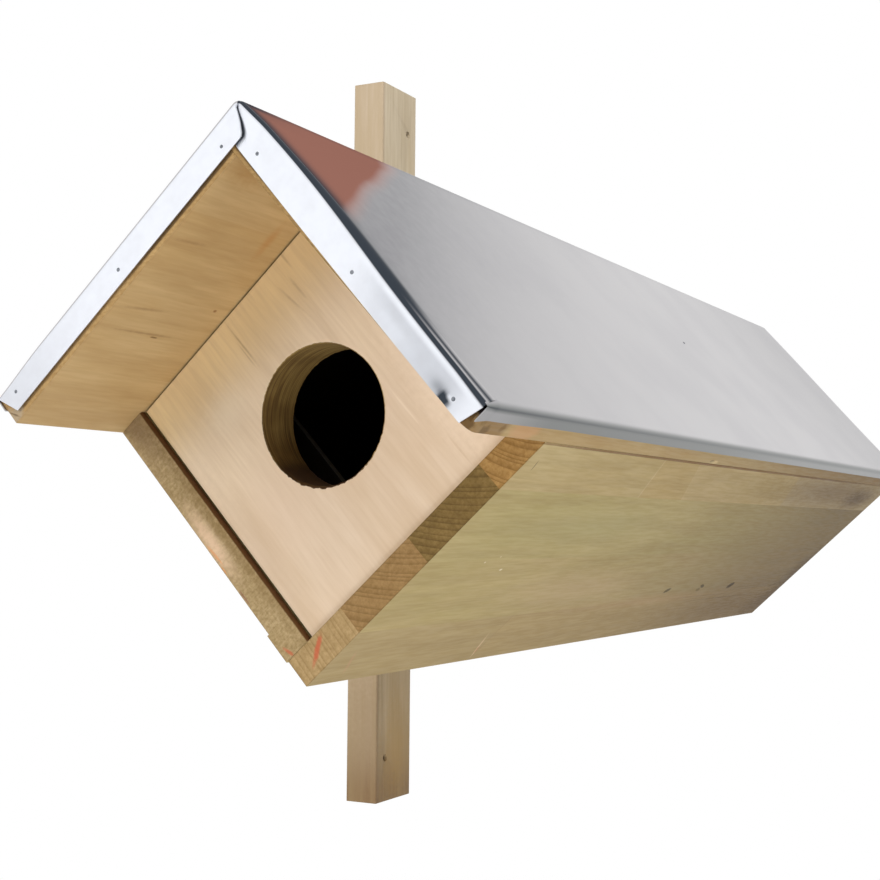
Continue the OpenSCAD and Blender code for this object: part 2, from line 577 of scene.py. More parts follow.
@dataclass(frozen=True)
class WoodFinish:
    """Planed, unpainted softwood."""

    name: str
    pale: Colour
    dark: Colour
    drift: Colour
    heart: Pair = (-0.12, -0.15)
    ring: float = 0.006
    wander: float = 0.005
    ring_show: float = 0.35
    streak_show: float = 0.25
    fibre_show: float = 0.2
    drift_show: float = 0.5
    seed: float = 1.0
    grain: Grain = Grain.ALONG_BOX
    roughness: float = 0.62
    gloss: float = 0.3
    relief: float = 0.25
    relief_depth: float = 0.4 * MM
    ring_relief: float = 0.5
    fibre_relief: float = -0.6
    rough_low: float = -0.05
    rough_high: float = 0.08
    edge: Colour = (96, 72, 44)
    edge_show: float = 0.25
    edge_width: float = 1.2 * MM
    seam_show: float = 0.6
    fades: tuple[Fade, ...] = ()
    # painted shade: near black for the wood inside the box, behind the front panel
    inside: Colour = (30, 22, 12)
    marks: tuple[Mark, ...] = ()
    blocks: tuple[Block, ...] = ()

    def material(self, effects: Effects, section: Section | None, span: Span) -> Material:
        """Builds the material for one board.

        Args:
            effects: The shared node groups.
            section: The section frame, or None for a piece laid out in the row frame.
            span: Lowest and highest corner of the board in that frame.

        Returns:
            The material.
        """
        coat = Coat(self.name, section)
        grain = self.grain_masks(coat, effects)
        coat.colour = self.pale
        coat.tint(grain["Drift"], self.drift_show, self.drift)
        for fade in self.fades:
            along = coat.split(coat.place)[fade.axis.name]
            coat.lay(coat.ramp(along, fade.start, fade.stop, 0.0, fade.share), fade.colour)
        self.lay_blocks(coat, effects)
        layers = {"Rings": self.ring_show, "Streaks": self.streak_show, "Fibres": self.fibre_show}
        for layer, show in layers.items():
            coat.tint(grain[layer], show, self.dark)
        self.lay_marks(coat, effects, span)
        rim = {"Width": self.edge_width, "Seed": self.seed}
        near_edge = coat.group(effects.edges, self.space(coat.place, span) | rim)["Mask"]
        coat.tint(near_edge, self.edge_show, self.edge)
        # painted shade: the wood inside the box, behind the front panel, is painted near black
        if section is not None:
            room = self.space(coat.place, section.room)
            coat.lay(coat.group(effects.inside, room)["Mask"], self.inside)
        sunk = coat.math("MULTIPLY", grain["Fibres"], self.fibre_relief)
        height = coat.math("MULTIPLY_ADD", grain["Rings"], self.ring_relief, sunk)
        normal = coat.bump(self.relief, self.relief_depth, height)
        low, high = self.roughness + self.rough_low, self.roughness + self.rough_high
        rough = coat.ramp(grain["Fibres"], 0.0, 1.0, low, high)
        return coat.surface(normal, Roughness=rough, Specular_IOR_Level=self.gloss)

    def grain_masks(self, coat: Coat, effects: Effects) -> Sockets:
        """Masks of the wood's grain, with the fibres turned the way they run.

        Args:
            coat: The material.
            effects: The shared node groups.

        Returns:
            The masks, by name.
        """
        place = coat.place
        if self.grain is not Grain.ALONG_BOX:
            upright = {"Vector": place, "Rotation": (-math.pi / 2, 0.0, 0.0)}
            place = coat.add("ShaderNodeMapping", upright).outputs[0]
        heart = {"Heart X": self.heart[0], "Heart Z": self.heart[1]}
        rings = {"Ring Width": self.ring, "Wander": self.wander, "Seed": self.seed}
        return coat.group(effects.grain, {"Vector": place} | heart | rings)

    def lay_blocks(self, coat: Coat, effects: Effects) -> None:
        """Colours the blocks of a glued stave and the seams between them.

        Args:
            coat: The material.
            effects: The shared node groups.
        """
        for block in self.blocks:
            line = {"Slant": block.slant, "Line": block.seam_width}
            start = {"Vector": coat.place, "Across": block.across, "Start": block.start}
            joint = coat.group(effects.joint, start | line)
            coat.tint(joint["After"], block.share, block.colour)
            coat.tint(joint["Seam"], self.seam_show, block.seam)

    def lay_marks(self, coat: Coat, effects: Effects, span: Span) -> None:
        """Colours the marks that reach the board.

        Args:
            coat: The material.
            effects: The shared node groups.
            span: Lowest and highest corner of the board.
        """
        for mark in self.marks:
            if mark.touches(*span):
                oval = {"Place": mark.place, "Size": mark.size, "Turn": mark.turn}
                rim = {"Softness": mark.softness, "Ragged": mark.ragged}
                mask = coat.group(effects.mark, {"Vector": coat.place} | oval | rim)["Mask"]
                coat.tint(mask, mark.strength, mark.colour)

    @staticmethod
    def space(place: Socket, span: Span) -> dict:
        """Inputs of a group that asks where a point lies in a square space."""
        low, high = span
        return {"Vector": place, "Centre": (low + high) / 2, "Half Size": (high - low) / 2}


@dataclass(frozen=True)
class BoreFinish:
    """The wall of a hole cut with a hole saw: dull, dark, with cutter marks round it."""

    name: str = "sawn_bore"
    pale: Colour = (158, 130, 74)
    dark: Colour = (96, 70, 34)
    burnt: Colour = (56, 32, 18)
    roughness: float = 0.8
    cutter_marks: Triple = (28.0, 1150.0, 28.0)
    patches: Triple = (70.0, 30.0, 70.0)
    burnt_below: Pair = (133 * MM, 124 * MM)

    def material(self, section: Section) -> Material:
        """Builds the material.

        Args:
            section: The section frame, whose y runs through the hole.

        Returns:
            The material.
        """
        coat = Coat(self.name, section)
        cuts = coat.cloud(coat.place, self.cutter_marks, 4.0, 3.0, 0.6)
        patches = coat.cloud(coat.place, self.patches, 9.0)
        coat.colour = self.pale
        coat.lay(coat.ramp(cuts, 0.35, 0.65), self.dark)
        coat.lay(coat.ramp(patches, 0.4, 0.7, 0.0, 0.5), self.dark)
        parts = coat.split(coat.place)
        height = coat.math("ADD", parts["X"], parts["Z"])
        ragged = coat.math("MULTIPLY_ADD", patches, 16 * MM, height)
        coat.lay(coat.ramp(ragged, *self.burnt_below, 0.0, 0.85), self.burnt)
        return coat.surface(coat.bump(0.5, 0.3 * MM, cuts), Roughness=self.roughness)


@dataclass(frozen=True)
class SheetFinish:
    """Galvanised steel sheet: grey, faintly clouded, with painted shade in its folds, a painted
    sheen on its lips and a reddish patch by the ridge.
    """

    name: str = "galvanised_sheet"
    grey: Colour = (202, 200, 201)
    cloud: Colour = (195, 193, 195)
    # painted shade: a dimmer grey where the sheet mirrors less light
    tarnish: Colour = (130, 129, 133)
    # painted reflection: near white for the lips and for each fold's last row, as if they mirrored
    # a lamp
    bright: Colour = (243, 246, 253)
    # painted shade and dark reflection: the dark of the folds, the seams, the hammer dent and the
    # line below the ridge
    fold: Colour = (58, 64, 72)
    # a reddish-brown patch by the front ridge, dull and unmetallic
    stain: Colour = (154, 107, 94)
    # painted shade: a dimmer grey for the turned-down eaves
    under: Colour = (134, 136, 135)
    metal: float = 0.9
    gloss: float = 0.5
    roughness: float = 0.36
    zones: tuple[str, ...] = ("bright", "tarnish", "flecks", "under", "stain", "fold")

    def material(self) -> Material:
        """Builds the material; it reads the masks painted on the sheet's mesh."""
        coat = Coat(self.name)
        clouds = coat.cloud(coat.place, (16.0,) * 3, 2.0, 3.0)
        flecks = coat.cloud(coat.place, (160.0,) * 3, 5.0)
        masks = {
            zone: coat.add("ShaderNodeAttribute", attribute_name=zone).outputs["Fac"]
            for zone in RoofSheet.MASKS
        }
        masks["flecks"] = coat.ramp(flecks, 0.3, 0.75, 0.0, 0.12)
        patch_share = masks["stain"] = coat.ramp(masks["stain"], 0.0, 1.0)
        coat.colour = self.grey
        coat.lay(coat.ramp(clouds, 0.35, 0.7), self.cloud)
        for zone in self.zones:
            coat.lay(masks[zone], self.cloud if zone == "flecks" else getattr(self, zone))
        values = {
            "Metallic": coat.ramp(patch_share, 0.0, 1.0, self.metal, 0.0),
            "Specular_IOR_Level": coat.ramp(patch_share, 0.0, 1.0, self.gloss, 0.0),
        }
        normal = coat.bump(0.012, 0.6 * MM, flecks)
        return coat.surface(normal, Roughness=self.roughness, **values)


@dataclass(frozen=True)
class NailFinish:
    """Small zinc-plated nail heads, duller than the sheet."""

    name: str = "nail_zinc"
    grey: Colour = (140, 144, 150)
    dark: Colour = (84, 88, 94)
    metal: float = 0.8
    rough: Pair = (0.32, 0.52)
    fine: float = 900.0

    def material(self) -> Material:
        """Builds the material."""
        coat = Coat(self.name)
        spots = coat.cloud(coat.place, (self.fine,) * 3, 3.0)
        coat.colour = self.grey
        coat.lay(coat.ramp(spots, 0.35, 0.7), self.dark)
        return coat.surface(Metallic=self.metal, Roughness=coat.ramp(spots, 0.3, 0.7, *self.rough))


# ---------------------------------------------------------------- mesh helpers


def link(name: str, data: object) -> Piece:
    """Makes an object of a mesh, lamp or camera and puts it in the scene."""
    made = bpy.data.objects.new(name, data)
    bpy.context.scene.collection.objects.link(made)
    return made


def place_piece(
    name: str, mesh: Mesh, materials: list[Material], slot: str, nodes: tuple[str, ...] = ()
) -> Piece:
    """Makes a finished mesh a piece of the part.

    Args:
        name: Name of the piece.
        mesh: Its mesh, in the row frame.
        materials: Its materials, by the mesh's material numbers, unless the mesh has them.
        slot: Name of the record's material slot; it is only written to the log.
        nodes: The CAD nodes it stands for.

    Returns:
        The piece's object.
    """
    mesh.name = name
    for material in materials:
        mesh.materials.append(material)
    piece = link(name, mesh)
    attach(piece, BODY)
    if nodes:
        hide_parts(*nodes)
    stands_for = ", ".join(nodes) or "no node"
    log.info("%s: %d faces, slot %s, for %s", name, len(mesh.polygons), slot, stands_for)
    return piece


def dress(
    effects: Effects, section: Section | None, span: Span, *finishes: WoodFinish
) -> list[Material]:
    """One material for each finish of a board between two corners."""
    return [finish.material(effects, section, span) for finish in finishes]


def shade_smooth(mesh: Mesh, below: float) -> None:
    """Shades a mesh smooth, but for edges sharper than an angle."""
    for face in mesh.polygons:
        face.use_smooth = True
    mesh.set_sharp_from_angle(angle=below)


def to_mesh(shape: Shape, matrix: Matrix, smooth_below: float | None = None) -> Mesh:
    """Ends a bmesh as a mesh in the row frame.

    Args:
        shape: The shape, which is freed.
        matrix: From its own frame to the row frame.
        smooth_below: Edges flatter than this angle are shaded smooth.

    Returns:
        The mesh.
    """
    mesh = bpy.data.meshes.new("shape")
    shape.to_mesh(mesh)
    shape.free()
    mesh.transform(matrix)
    if smooth_below is not None:
        shade_smooth(mesh, smooth_below)
    return mesh


def settle(holder: Piece) -> Mesh:
    """Turns a holder's mesh and modifier into a plain mesh; modifier and holder go.

    Args:
        holder: The object with the modifier.

    Returns:
        The plain mesh.
    """
    bpy.context.view_layer.update()
    finished = holder.evaluated_get(bpy.context.evaluated_depsgraph_get())
    mesh = bpy.data.meshes.new_from_object(finished)
    holder.modifiers.clear()
    bpy.data.objects.remove(holder)
    return mesh


def ease_edges(
    shape: Shape, edges: list, width: float, steps: int = 2, clamp: bool = False
) -> None:
    """Rounds some edges of a shape, no wider than the faces beside them if clamped."""
    how = {"offset": width, "segments": steps, "profile": 0.5, "clamp_overlap": clamp}
    bmesh.ops.bevel(shape, geom=edges, affect="EDGES", **how)
    shape.normal_update()


def number_faces(shape: Shape, axis: Axis, square: int, other: int) -> None:
    """Gives faces square to an axis one material number and all others another."""
    for face in shape.faces:
        face.material_index = square if abs(face.normal[axis.value]) > 0.9 else other


@dataclass(frozen=True)
class Rounding:
    """A wider rounding along the edge between two sides of some staves."""

    staves: tuple[int, ...]
    first: Side
    second: Side
    width: float


def square_board(
    span: Span, arris: float, joined: set[Side], roundings: list[Rounding]
) -> Shape:
    """A square board with eased edges, except along the sides glued to a neighbour.

    Args:
        span: Lowest and highest corner.
        arris: Width of the eased edge.
        joined: Sides whose edges stay sharp.
        roundings: Wider roundings along some of its edges.

    Returns:
        The board; its end faces have material number 1.
    """
    low, high = span
    shape = bmesh.new()
    matrix = Matrix.Translation((low + high) / 2) @ Matrix.Diagonal((*(high - low), 1.0))
    bmesh.ops.create_cube(shape, size=1.0, matrix=matrix)

    def on(edge: bmesh.types.BMEdge, side: Side) -> bool:
        """Whether one of the edge's faces is on a side."""
        return any(face.normal.dot(Vector(side.value)) > 0.9 for face in edge.link_faces)

    for rounding in roundings:
        worn = [e for e in shape.edges if on(e, rounding.first) and on(e, rounding.second)]
        ease_edges(shape, worn, rounding.width, 5)
    eased = [
        edge
        for edge in shape.edges
        if edge.calc_face_angle(0.0) > 1.2 and not any(on(edge, side) for side in joined)
    ]
    ease_edges(shape, eased, arris)
    number_faces(shape, Axis.Y, 1, 0)
    return shape


# ---------------------------------------------------------------- boards


@dataclass(frozen=True)
class StaveLook:
    """How one stave differs from its board: its face and its end."""

    face: WoodFinish
    end: WoodFinish


@dataclass
class StaveBoard:
    """A board glued up from four staves."""

    name: str
    slot: str
    looks: tuple[StaveLook, ...]
    first_joint: Side
    last_joint: Side
    roundings: tuple[Rounding, ...] = ()
    arris: float = 0.4 * MM
    past_joint: float = 50 * MM

    def build(self, section: Section, effects: Effects) -> list[Piece]:
        """Builds and dresses the board's staves.

        Args:
            section: The section frame.
            effects: The shared node groups.

        Returns:
            The staves' objects.
        """
        made = []
        for number, look in enumerate(self.looks, start=1):
            node = f"{self.name}_{number}"
            low, high = section.span(node)
            joined = {self.first_joint} if number > 1 else set()
            if number < len(self.looks):
                joined.add(self.last_joint)
            roundings = [r for r in self.roundings if number in r.staves]
            shape = square_board((low, high), self.arris, joined, roundings)
            mesh = to_mesh(shape, section.to_row)
            for side in joined:
                way = Vector(side.value) * self.past_joint
                if sum(way) < 0:
                    low = low + way
                else:
                    high = high + way
            materials = dress(effects, section, (low, high), look.face, look.end)
            made.append(place_piece(f"{node}_wood", mesh, materials, self.slot, (node,)))
        return made


@dataclass
class FrontPanel:
    """The pale front panel with its sawn entrance."""

    face: WoodFinish
    edge: WoodFinish
    bore: BoreFinish = BoreFinish()
    gap: float = 1.1 * MM
    low_gap: float = 0.2 * MM
    side_gap: float = 0.1 * MM
    top_gap: float = 0.9 * MM
    entrance_radius: float = 35 * MM
    rim_round: float = 0.5 * MM
    rim_tear: float = 0.35 * MM
    rim_wear: float = 0.9 * MM
    rim_share: float = 14.0
    tear_round: float = 26.0
    tear_deep: float = 30.0
    groove: float = 0.12 * MM
    groove_round: float = 1.5
    groove_deep: float = 42.0
    spokes: int = 240
    rings: int = 10
    grooves: int = 36

    def hole_radius(self, angle: float, depth: float) -> float:
        """Radius of the sawn hole, with cutter marks and a torn rim.

        Args:
            angle: Direction from the hole's middle, from u towards v.
            depth: Share of the panel's thickness, 0 at the front face.

        Returns:
            The radius in metres.
        """
        way = Vector((math.cos(angle), math.sin(angle), 0.0))
        marks = noise.noise(way * self.groove_round + Vector((0.0, 0.0, depth * self.groove_deep)))
        near_rim = max(0.0, 1.0 - min(depth, 1.0 - depth) * self.rim_share)
        torn = noise.noise(way * self.tear_round + Vector((0.0, 0.0, 3.0 + depth * self.tear_deep)))
        lowest = max(0.0, -(way.x + way.y) / math.sqrt(2)) ** 4
        tear = self.rim_tear * torn * (0.4 + 0.9 * abs(way.y) ** 2)
        worn = near_rim * (self.rim_wear * lowest * (0.7 + torn) + tear)
        return self.entrance_radius + self.groove * marks + worn

    @staticmethod
    def to_edge(angle: float, middle: float, low: Vector, high: Vector) -> Pair:
        """Where a ray from the hole's middle meets the panel's edge.

        Args:
            angle: Direction of the ray, from u towards v.
            middle: The hole's middle, the same along u and v.
            low: The panel's lowest corner.
            high: Its highest corner.

        Returns:
            The u and v.
        """
        way = (math.cos(angle), math.sin(angle))
        reach = [
            ((high[axis] if part > 0 else low[axis]) - middle) / part
            for axis, part in ((0, way[0]), (2, way[1]))
            if abs(part) > 1e-9
        ]
        return middle + way[0] * min(reach), middle + way[1] * min(reach)

    def layers(self, low: float, high: float) -> list[tuple[float, float, float, float, int]]:
        """The panel's loops, from its edge over the front and through the hole to the back.

        Args:
            low: The front face's place along the box.
            high: The back face's place.

        Returns:
            For each loop: share of the way from hole to edge, place along the box, flare of
            the hole, depth, and number of the material up to it.
        """
        thick = high - low
        rim = self.rim_round / thick
        depths = [rim * (1 - math.cos(math.pi * k / 6)) for k in range(4)]
        depths += [rim + (1 - 2 * rim) * k / self.grooves for k in range(1, self.grooves)]
        depths += [1 - d for d in reversed(depths[:4])]
        spread = [0.0, 0.02]
        spread += [0.02 + 0.98 * (k / self.rings) ** 1.3 for k in range(1, self.rings + 1)]
        made = [(share, low, self.rim_round, 0.0, 0) for share in reversed(spread)]
        for depth in depths[1:-1]:
            close = min(depth, 1 - depth) / rim
            curve = math.sqrt(max(0.0, 1 - (1 - min(1.0, close)) ** 2))
            made.append((0.0, low + thick * depth, self.rim_round * (1 - curve), depth, 2))
        return made + [(share, high, self.rim_round, 1.0, 0) for share in spread]

    def build(self, section: Section, effects: Effects) -> Piece:
        """Builds and dresses the panel.

        Args:
            section: The section frame.
            effects: The shared node groups.

        Returns:
            The panel's object.
        """
        low, high = section.span("front_panel")
        low = low + Vector((self.gap, 0.0, self.low_gap))
        high = high - Vector((self.side_gap, 0.0, self.top_gap))
        middle, turn = section.side / 2, 2 * math.pi
        corners = [
            math.atan2(v - middle, u - middle) % turn
            for u in (low.x, high.x)
            for v in (low.z, high.z)
        ]
        angles = sorted({*(turn * k / self.spokes for k in range(self.spokes)), *corners})
        shape = bmesh.new()
        loops = []
        for share, y, flare, depth, number in self.layers(low.y, high.y):
            loop = []
            for angle in angles:
                radius = self.hole_radius(angle, depth) + flare
                inner = (middle + radius * math.cos(angle), middle + radius * math.sin(angle))
                outer = self.to_edge(angle, middle, low, high)
                u, v = (a + (b - a) * share for a, b in zip(inner, outer))
                loop.append(shape.verts.new((u, y, v)))
            loops.append((loop, number))
        loops.append((loops[0][0], 1))
        for (first, _), (second, number) in zip(loops, loops[1:]):
            for k, vert in enumerate(first):
                n = (k + 1) % len(first)
                face = shape.faces.new((vert, second[k], second[n], first[n]))
                face.material_index = number
        bmesh.ops.recalc_face_normals(shape, faces=shape.faces)
        mesh = to_mesh(shape, section.to_row, math.radians(40))
        materials = dress(effects, section, (low, high), self.face, self.edge)
        materials.append(self.bore.material(section))
        return place_piece("front_panel_wood", mesh, materials, "panel_wood", ("front_panel",))


@dataclass
class PlainBoards:
    """The far panel and the low baffle behind the entrance."""

    face: WoodFinish
    edge: WoodFinish
    arris: float = 0.4 * MM

    def build(self, section: Section, effects: Effects) -> list[Piece]:
        """Builds and dresses both boards.

        Args:
            section: The section frame.
            effects: The shared node groups.

        Returns:
            Their objects.
        """
        made = []
        for number, node in enumerate(("back_panel", "baffle")):
            span = section.span(node)
            shape = square_board(span, self.arris, set(), [])
            number_faces(shape, Axis.Y, 0, 1)
            mesh = to_mesh(shape, section.to_row)
            seed = self.face.seed + 5.0 * number
            own = [replace(f, name=f"{node}_{f.name}", seed=seed) for f in (self.face, self.edge)]
            materials = dress(effects, section, span, *own)
            made.append(place_piece(f"{node}_wood", mesh, materials, "panel_wood", (node,)))
        return made


@dataclass
class Batten:
    """The upright batten, with its eased edges and screw holes."""

    face: WoodFinish
    end: WoodFinish
    arris: float = 0.5 * MM

    def build(self, effects: Effects) -> Piece:
        """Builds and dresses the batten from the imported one, easing its edges.

        Args:
            effects: The shared node groups.

        Returns:
            The batten's object.
        """
        shape = bmesh.new()
        shape.from_mesh(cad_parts["mounting_batten"].data)
        bmesh.ops.remove_doubles(shape, verts=shape.verts, dist=1e-6)
        flat = math.radians(1.0)
        bmesh.ops.dissolve_limit(shape, angle_limit=flat, verts=shape.verts, edges=shape.edges)
        shape.normal_update()
        corner = math.radians(60)
        whole = [edge for edge in shape.edges if len(edge.link_faces) == 2]
        sharp = [edge for edge in whole if edge.calc_face_angle() > corner]
        ease_edges(shape, sharp, self.arris, clamp=True)
        number_faces(shape, Axis.Z, 1, 0)
        mesh = to_mesh(shape, Matrix.Identity(4), math.radians(32))
        materials = dress(effects, None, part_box("mounting_batten"), self.face, self.end)
        return place_piece(
            "mounting_batten_wood", mesh, materials, "batten_wood", ("mounting_batten",)
        )


# ---------------------------------------------------------------- roof sheet


class Stretch(Enum):
    """The stretches of the sheet's outline, from an eave to the ridge."""

    TURN = "turned down"
    EAVE = "eave bend"
    SLOPE = "slope"
    RIDGE = "ridge bend"


@dataclass(frozen=True)
class Dent:
    """A dent in a lip: its place in the section, how wide and how deep it is."""

    u: float
    v: float
    radius: float
    depth: float

    def sink(self, u: float, v: float) -> float:
        """How far the dent sinks a point of the lip."""
        away = ((u - self.u) ** 2 + (v - self.v) ** 2) / self.radius**2
        return self.depth * math.exp(-away)


def from_line(u: float, v: float, line: list[Vector]) -> Pair:
    """How far a point lies from a line of points.

    Args:
        u: The point's u.
        v: The point's v.
        line: The line's points.

    Returns:
        The distance, and the share of the line where it is nearest.
    """
    point, best, share = Vector((u, v)), 1.0, 0.0
    for k, (first, second) in enumerate(zip(line, line[1:])):
        way = second - first
        along = max(0.0, min(1.0, (point - first).dot(way) / way.length_squared))
        away = (point - first - way * along).length
        if away < best:
            best, share = away, (k + along) / (len(line) - 1)
    return best, share


def along_line(line: list[Vector], share: float) -> Vector:
    """A point of a line of points.

    Args:
        line: The line's points.
        share: Share of the line's whole length.

    Returns:
        The point.
    """
    lengths = [(b - a).length for a, b in zip(line, line[1:])]
    want = share * sum(lengths)
    for first, second, length in zip(line, line[1:], lengths):
        if want <= length:
            return first.lerp(second, want / max(length, 1e-9))
        want -= length
    return line[-1]


@dataclass(frozen=True)
class OutlinePoint:
    """A point of the sheet's outline: its place, outward normal and stretch."""

    u: float
    v: float
    normal_u: float
    normal_v: float
    stretch: Stretch

    def mirrored(self) -> "OutlinePoint":
        """The same point on the other slope."""
        return OutlinePoint(self.v, self.u, self.normal_v, self.normal_u, self.stretch)


@dataclass
class RoofSheet:
    """One folded sheet: two slopes over the ridge, turned-down eaves, two lips at each end."""

    # Masks painted on the mesh: painted shade, dark reflection and sheen, and a reddish patch
    MASKS = ("fold", "stain", "bright", "under", "tarnish")
    EAVE_EDGE = -17 * MM
    FRONT_EDGE = -78 * MM
    BELLY = (105 * MM, 65 * MM)
    BELLY_LENGTH = 260 * MM
    SHADE_FADE = 220 * MM

    thickness: float = 0.6 * MM
    wall_share: float = 0.96
    ridge_round: float = 4.0 * MM
    eave_round: float = 3.0 * MM
    left_eave_round: float = 1.0 * MM
    turn_down: float = 8.0 * MM
    lip_bevel: float = 6.0 * MM
    left_fold: float = 1.4 * MM
    right_fold: float = 4.0 * MM
    fold_at_ridge: float = 1.5 * MM
    stand_off: float = 1.9 * MM
    bow: float = 2.8 * MM
    wave: float = 0.2 * MM
    seam_sunk: float = 0.3 * MM
    most_sunk: float = 0.55 * MM
    turn_rows: int = 4
    eave_rows: int = 12
    slope_rows: int = 116
    far_rows: int = 20
    ridge_rows: int = 8
    fold_rows: int = 12
    lip_rows: int = 18
    finish: SheetFinish = SheetFinish()
    nails: tuple[Pair, ...] = (
        (152.8, 163.4), (76.0, 164.7), (-5.6, 166.1), (163.2, 146.8), (161.3, 72.1), (159.5, -1.6),
    )
    # painted shade of the low right fold, row by row; its low values leave a painted highlight line
    low_fold: tuple[float, ...] = (0.12, 0.16, 0.35, 0.7, 1.0, 0.7, 0.12, 1.0, 1.0, 1.0, 1.0)
    left_end: tuple[Pair, ...] = (
        (169.9, 170.2), (168.9, 167.9), (167.9, 165.6), (166.8, 163.4),
        (165.6, 161.5), (164.5, 159.7), (163.2, 158.5),
    )

    nail_places: list[Pair] = field(init=False)
    dents: list[Dent] = field(init=False)
    bruise: Dent = field(init=False)
    left_cut: list[Vector] = field(init=False)
    seam: list[Vector] = field(init=False)
    low: Vector = field(init=False)
    high: Vector = field(init=False)
    points: list[OutlinePoint] = field(init=False)
    ridge: int = field(init=False)
    shape: Shape = field(init=False)
    layers: dict = field(init=False)

    def __post_init__(self) -> None:
        """Sets the dents at the nails, a hammer bruise by the lowest right one, and the cuts."""
        self.nail_places = [(u * MM, v * MM) for u, v in self.nails]
        self.dents = [Dent(u, v, 2.4 * MM, 0.28 * MM) for u, v in self.nail_places]
        self.bruise = Dent(156.2 * MM, 1.4 * MM, 3.6 * MM, 0.5 * MM)
        self.left_cut = [Vector(place) * MM for place in self.left_end]
        ends = (Vector((171.4, 172.2)) * MM, Vector((158.0, 158.6)) * MM)
        self.seam = [ends[0], *self.left_cut, ends[1]]

    def outline(self) -> list[OutlinePoint]:
        """The sheet's outer outline, from the left eave over the ridge to the right eave."""
        left = self.half_outline(self.left_eave_round)
        right = self.half_outline(self.eave_round)
        return left + [point.mirrored() for point in reversed(right[:-1])]

    def half_outline(self, bend: float) -> list[OutlinePoint]:
        """The left half of the outline, from the eave to the ridge.

        Args:
            bend: Radius of the eave's bend.

        Returns:
            The points of that half; the last one is the ridge.
        """
        low, high, ridge = self.low.x, self.high.x, self.ridge_round
        points = []
        for k in range(self.turn_rows):
            v = high - self.turn_down + (self.turn_down - bend) * k / self.turn_rows
            points.append(OutlinePoint(low, v, -1.0, 0.0, Stretch.TURN))
        for k in range(self.eave_rows):
            angle = math.pi - math.pi / 2 * k / self.eave_rows
            out, up = math.cos(angle), math.sin(angle)
            u, v = low + bend + bend * out, high - bend + bend * up
            points.append(OutlinePoint(u, v, out, up, Stretch.EAVE))
        start, stop = low + bend, high - ridge
        rows = self.slope_rows
        places = [start + (stop - start) * k / rows for k in range(rows)]
        places[1:1] = [start + 0.5 * MM]
        for u in places + [stop - 0.4 * MM]:
            points.append(OutlinePoint(u, high, 0.0, 1.0, Stretch.SLOPE))
        for k in range(self.ridge_rows + 1):
            angle = math.pi / 2 - math.pi / 4 * k / self.ridge_rows
            out, up = math.cos(angle), math.sin(angle)
            u, v = stop + ridge * out, stop + ridge * up
            points.append(OutlinePoint(u, v, out, up, Stretch.RIDGE))
        return points

    def sprung(self, point: OutlinePoint, y: float) -> Pair:
        """Where a point of the outline really lies: the sheet springs a little off the boards.

        Args:
            point: The point, as if the sheet lay tight.
            y: Its place along the box.

        Returns:
            Its u and v.
        """
        u, v = point.u, point.v
        belly = self.bow * bell(v, *self.BELLY) * ease(v, self.EAVE_EDGE, 0.02)
        belly *= fall(v, 0.15, 0.178) * bell(y, self.FRONT_EDGE, self.BELLY_LENGTH)
        side = (self.stand_off * ease(v, 0.0, 0.17) + belly) * ease(u, 0.10, 0.165)
        rise = self.stand_off * (0.75 + 0.25 * ease(u, 0.0, 0.15))
        rise *= ease(u, self.EAVE_EDGE, 0.02) * ease(v, 0.10, 0.165)
        if point.stretch in (Stretch.TURN, Stretch.EAVE) and u > v:
            front = fall(y, self.FRONT_EDGE, -0.072)
            straight = self.high.x - self.eave_round
            hang = max(0.0, -point.normal_v) * (straight - min(u, straight))
            dip = 0.9 * fall(y, -0.06, 0.01) + 2.4 * front
            side -= dip * MM * hang / (self.turn_down - self.eave_round)
            side -= 2.2 * MM * point.normal_u * front
            rise += 1.2 * MM * front
        return u + side, v + rise

    def build(self, section: Section) -> Piece:
        """Builds and dresses the sheet.

        Args:
            section: The section frame.

        Returns:
            The sheet's object.
        """
        self.low, self.high = section.span("roof_sheet")
        self.points = self.outline()
        self.ridge = len(self.points) // 2
        self.shape = bmesh.new()
        self.layers = {name: self.shape.verts.layers.float.new(name) for name in self.MASKS}
        for end, row in zip((End.FRONT, End.BACK), self.add_slopes()):
            for left in (True, False):
                self.add_lip(row, end, left)
        self.shape.normal_update()
        flat = [face for face in self.shape.faces if abs(face.normal.y) < 0.1]
        if sum(face.normal.z * face.calc_area() for face in flat) < 0:
            bmesh.ops.reverse_faces(self.shape, faces=self.shape.faces)
        mesh = self.thicken(to_mesh(self.shape, Matrix.Identity(4)))
        mesh.transform(section.to_row)
        shade_smooth(mesh, math.radians(50))
        materials = [self.finish.material()]
        return place_piece("roof_sheet_skin", mesh, materials, "sheet_metal", ("roof_sheet",))

    def vert(self, u: float, y: float, v: float, **masks: float) -> Vert:
        """Adds a point with its painted masks.

        Args:
            u: Its u.
            y: Its place along the box.
            v: Its v.
            masks: Its masks; the reddish patch is kept as a distance, so that its edge is even.

        Returns:
            The new point.
        """
        made = self.shape.verts.new((u, y, v))
        for name, value in masks.items():
            made[self.layers[name]] = value if name == "stain" else max(0.0, min(1.0, value))
        return made

    def fold_at(self, index: int) -> float:
        """Radius of the fold into the lip.

        Args:
            index: Number of the outline's point.

        Returns:
            The radius.
        """
        point = self.points[index]
        if point.stretch in (Stretch.TURN, Stretch.EAVE):
            return 0.0
        if index < self.ridge:
            return self.left_fold
        full = self.right_fold - 2.3 * MM * ease(point.v, 0.05, 0.155)
        full += 1.0 * MM * fall(point.v, self.EAVE_EDGE, 0.008)
        from_ridge = ease(self.high.x - point.v, 0.001, 0.02)
        return self.fold_at_ridge + (full - self.fold_at_ridge) * from_ridge

    def lip_plane(self, index: int, end: End) -> float:
        """Plane of the lip at a point of the outline; the right lips lie under the left ones."""
        under = self.thickness if index > self.ridge else 0.0
        return (self.low.y if end is End.FRONT else self.high.y) + end.value * under

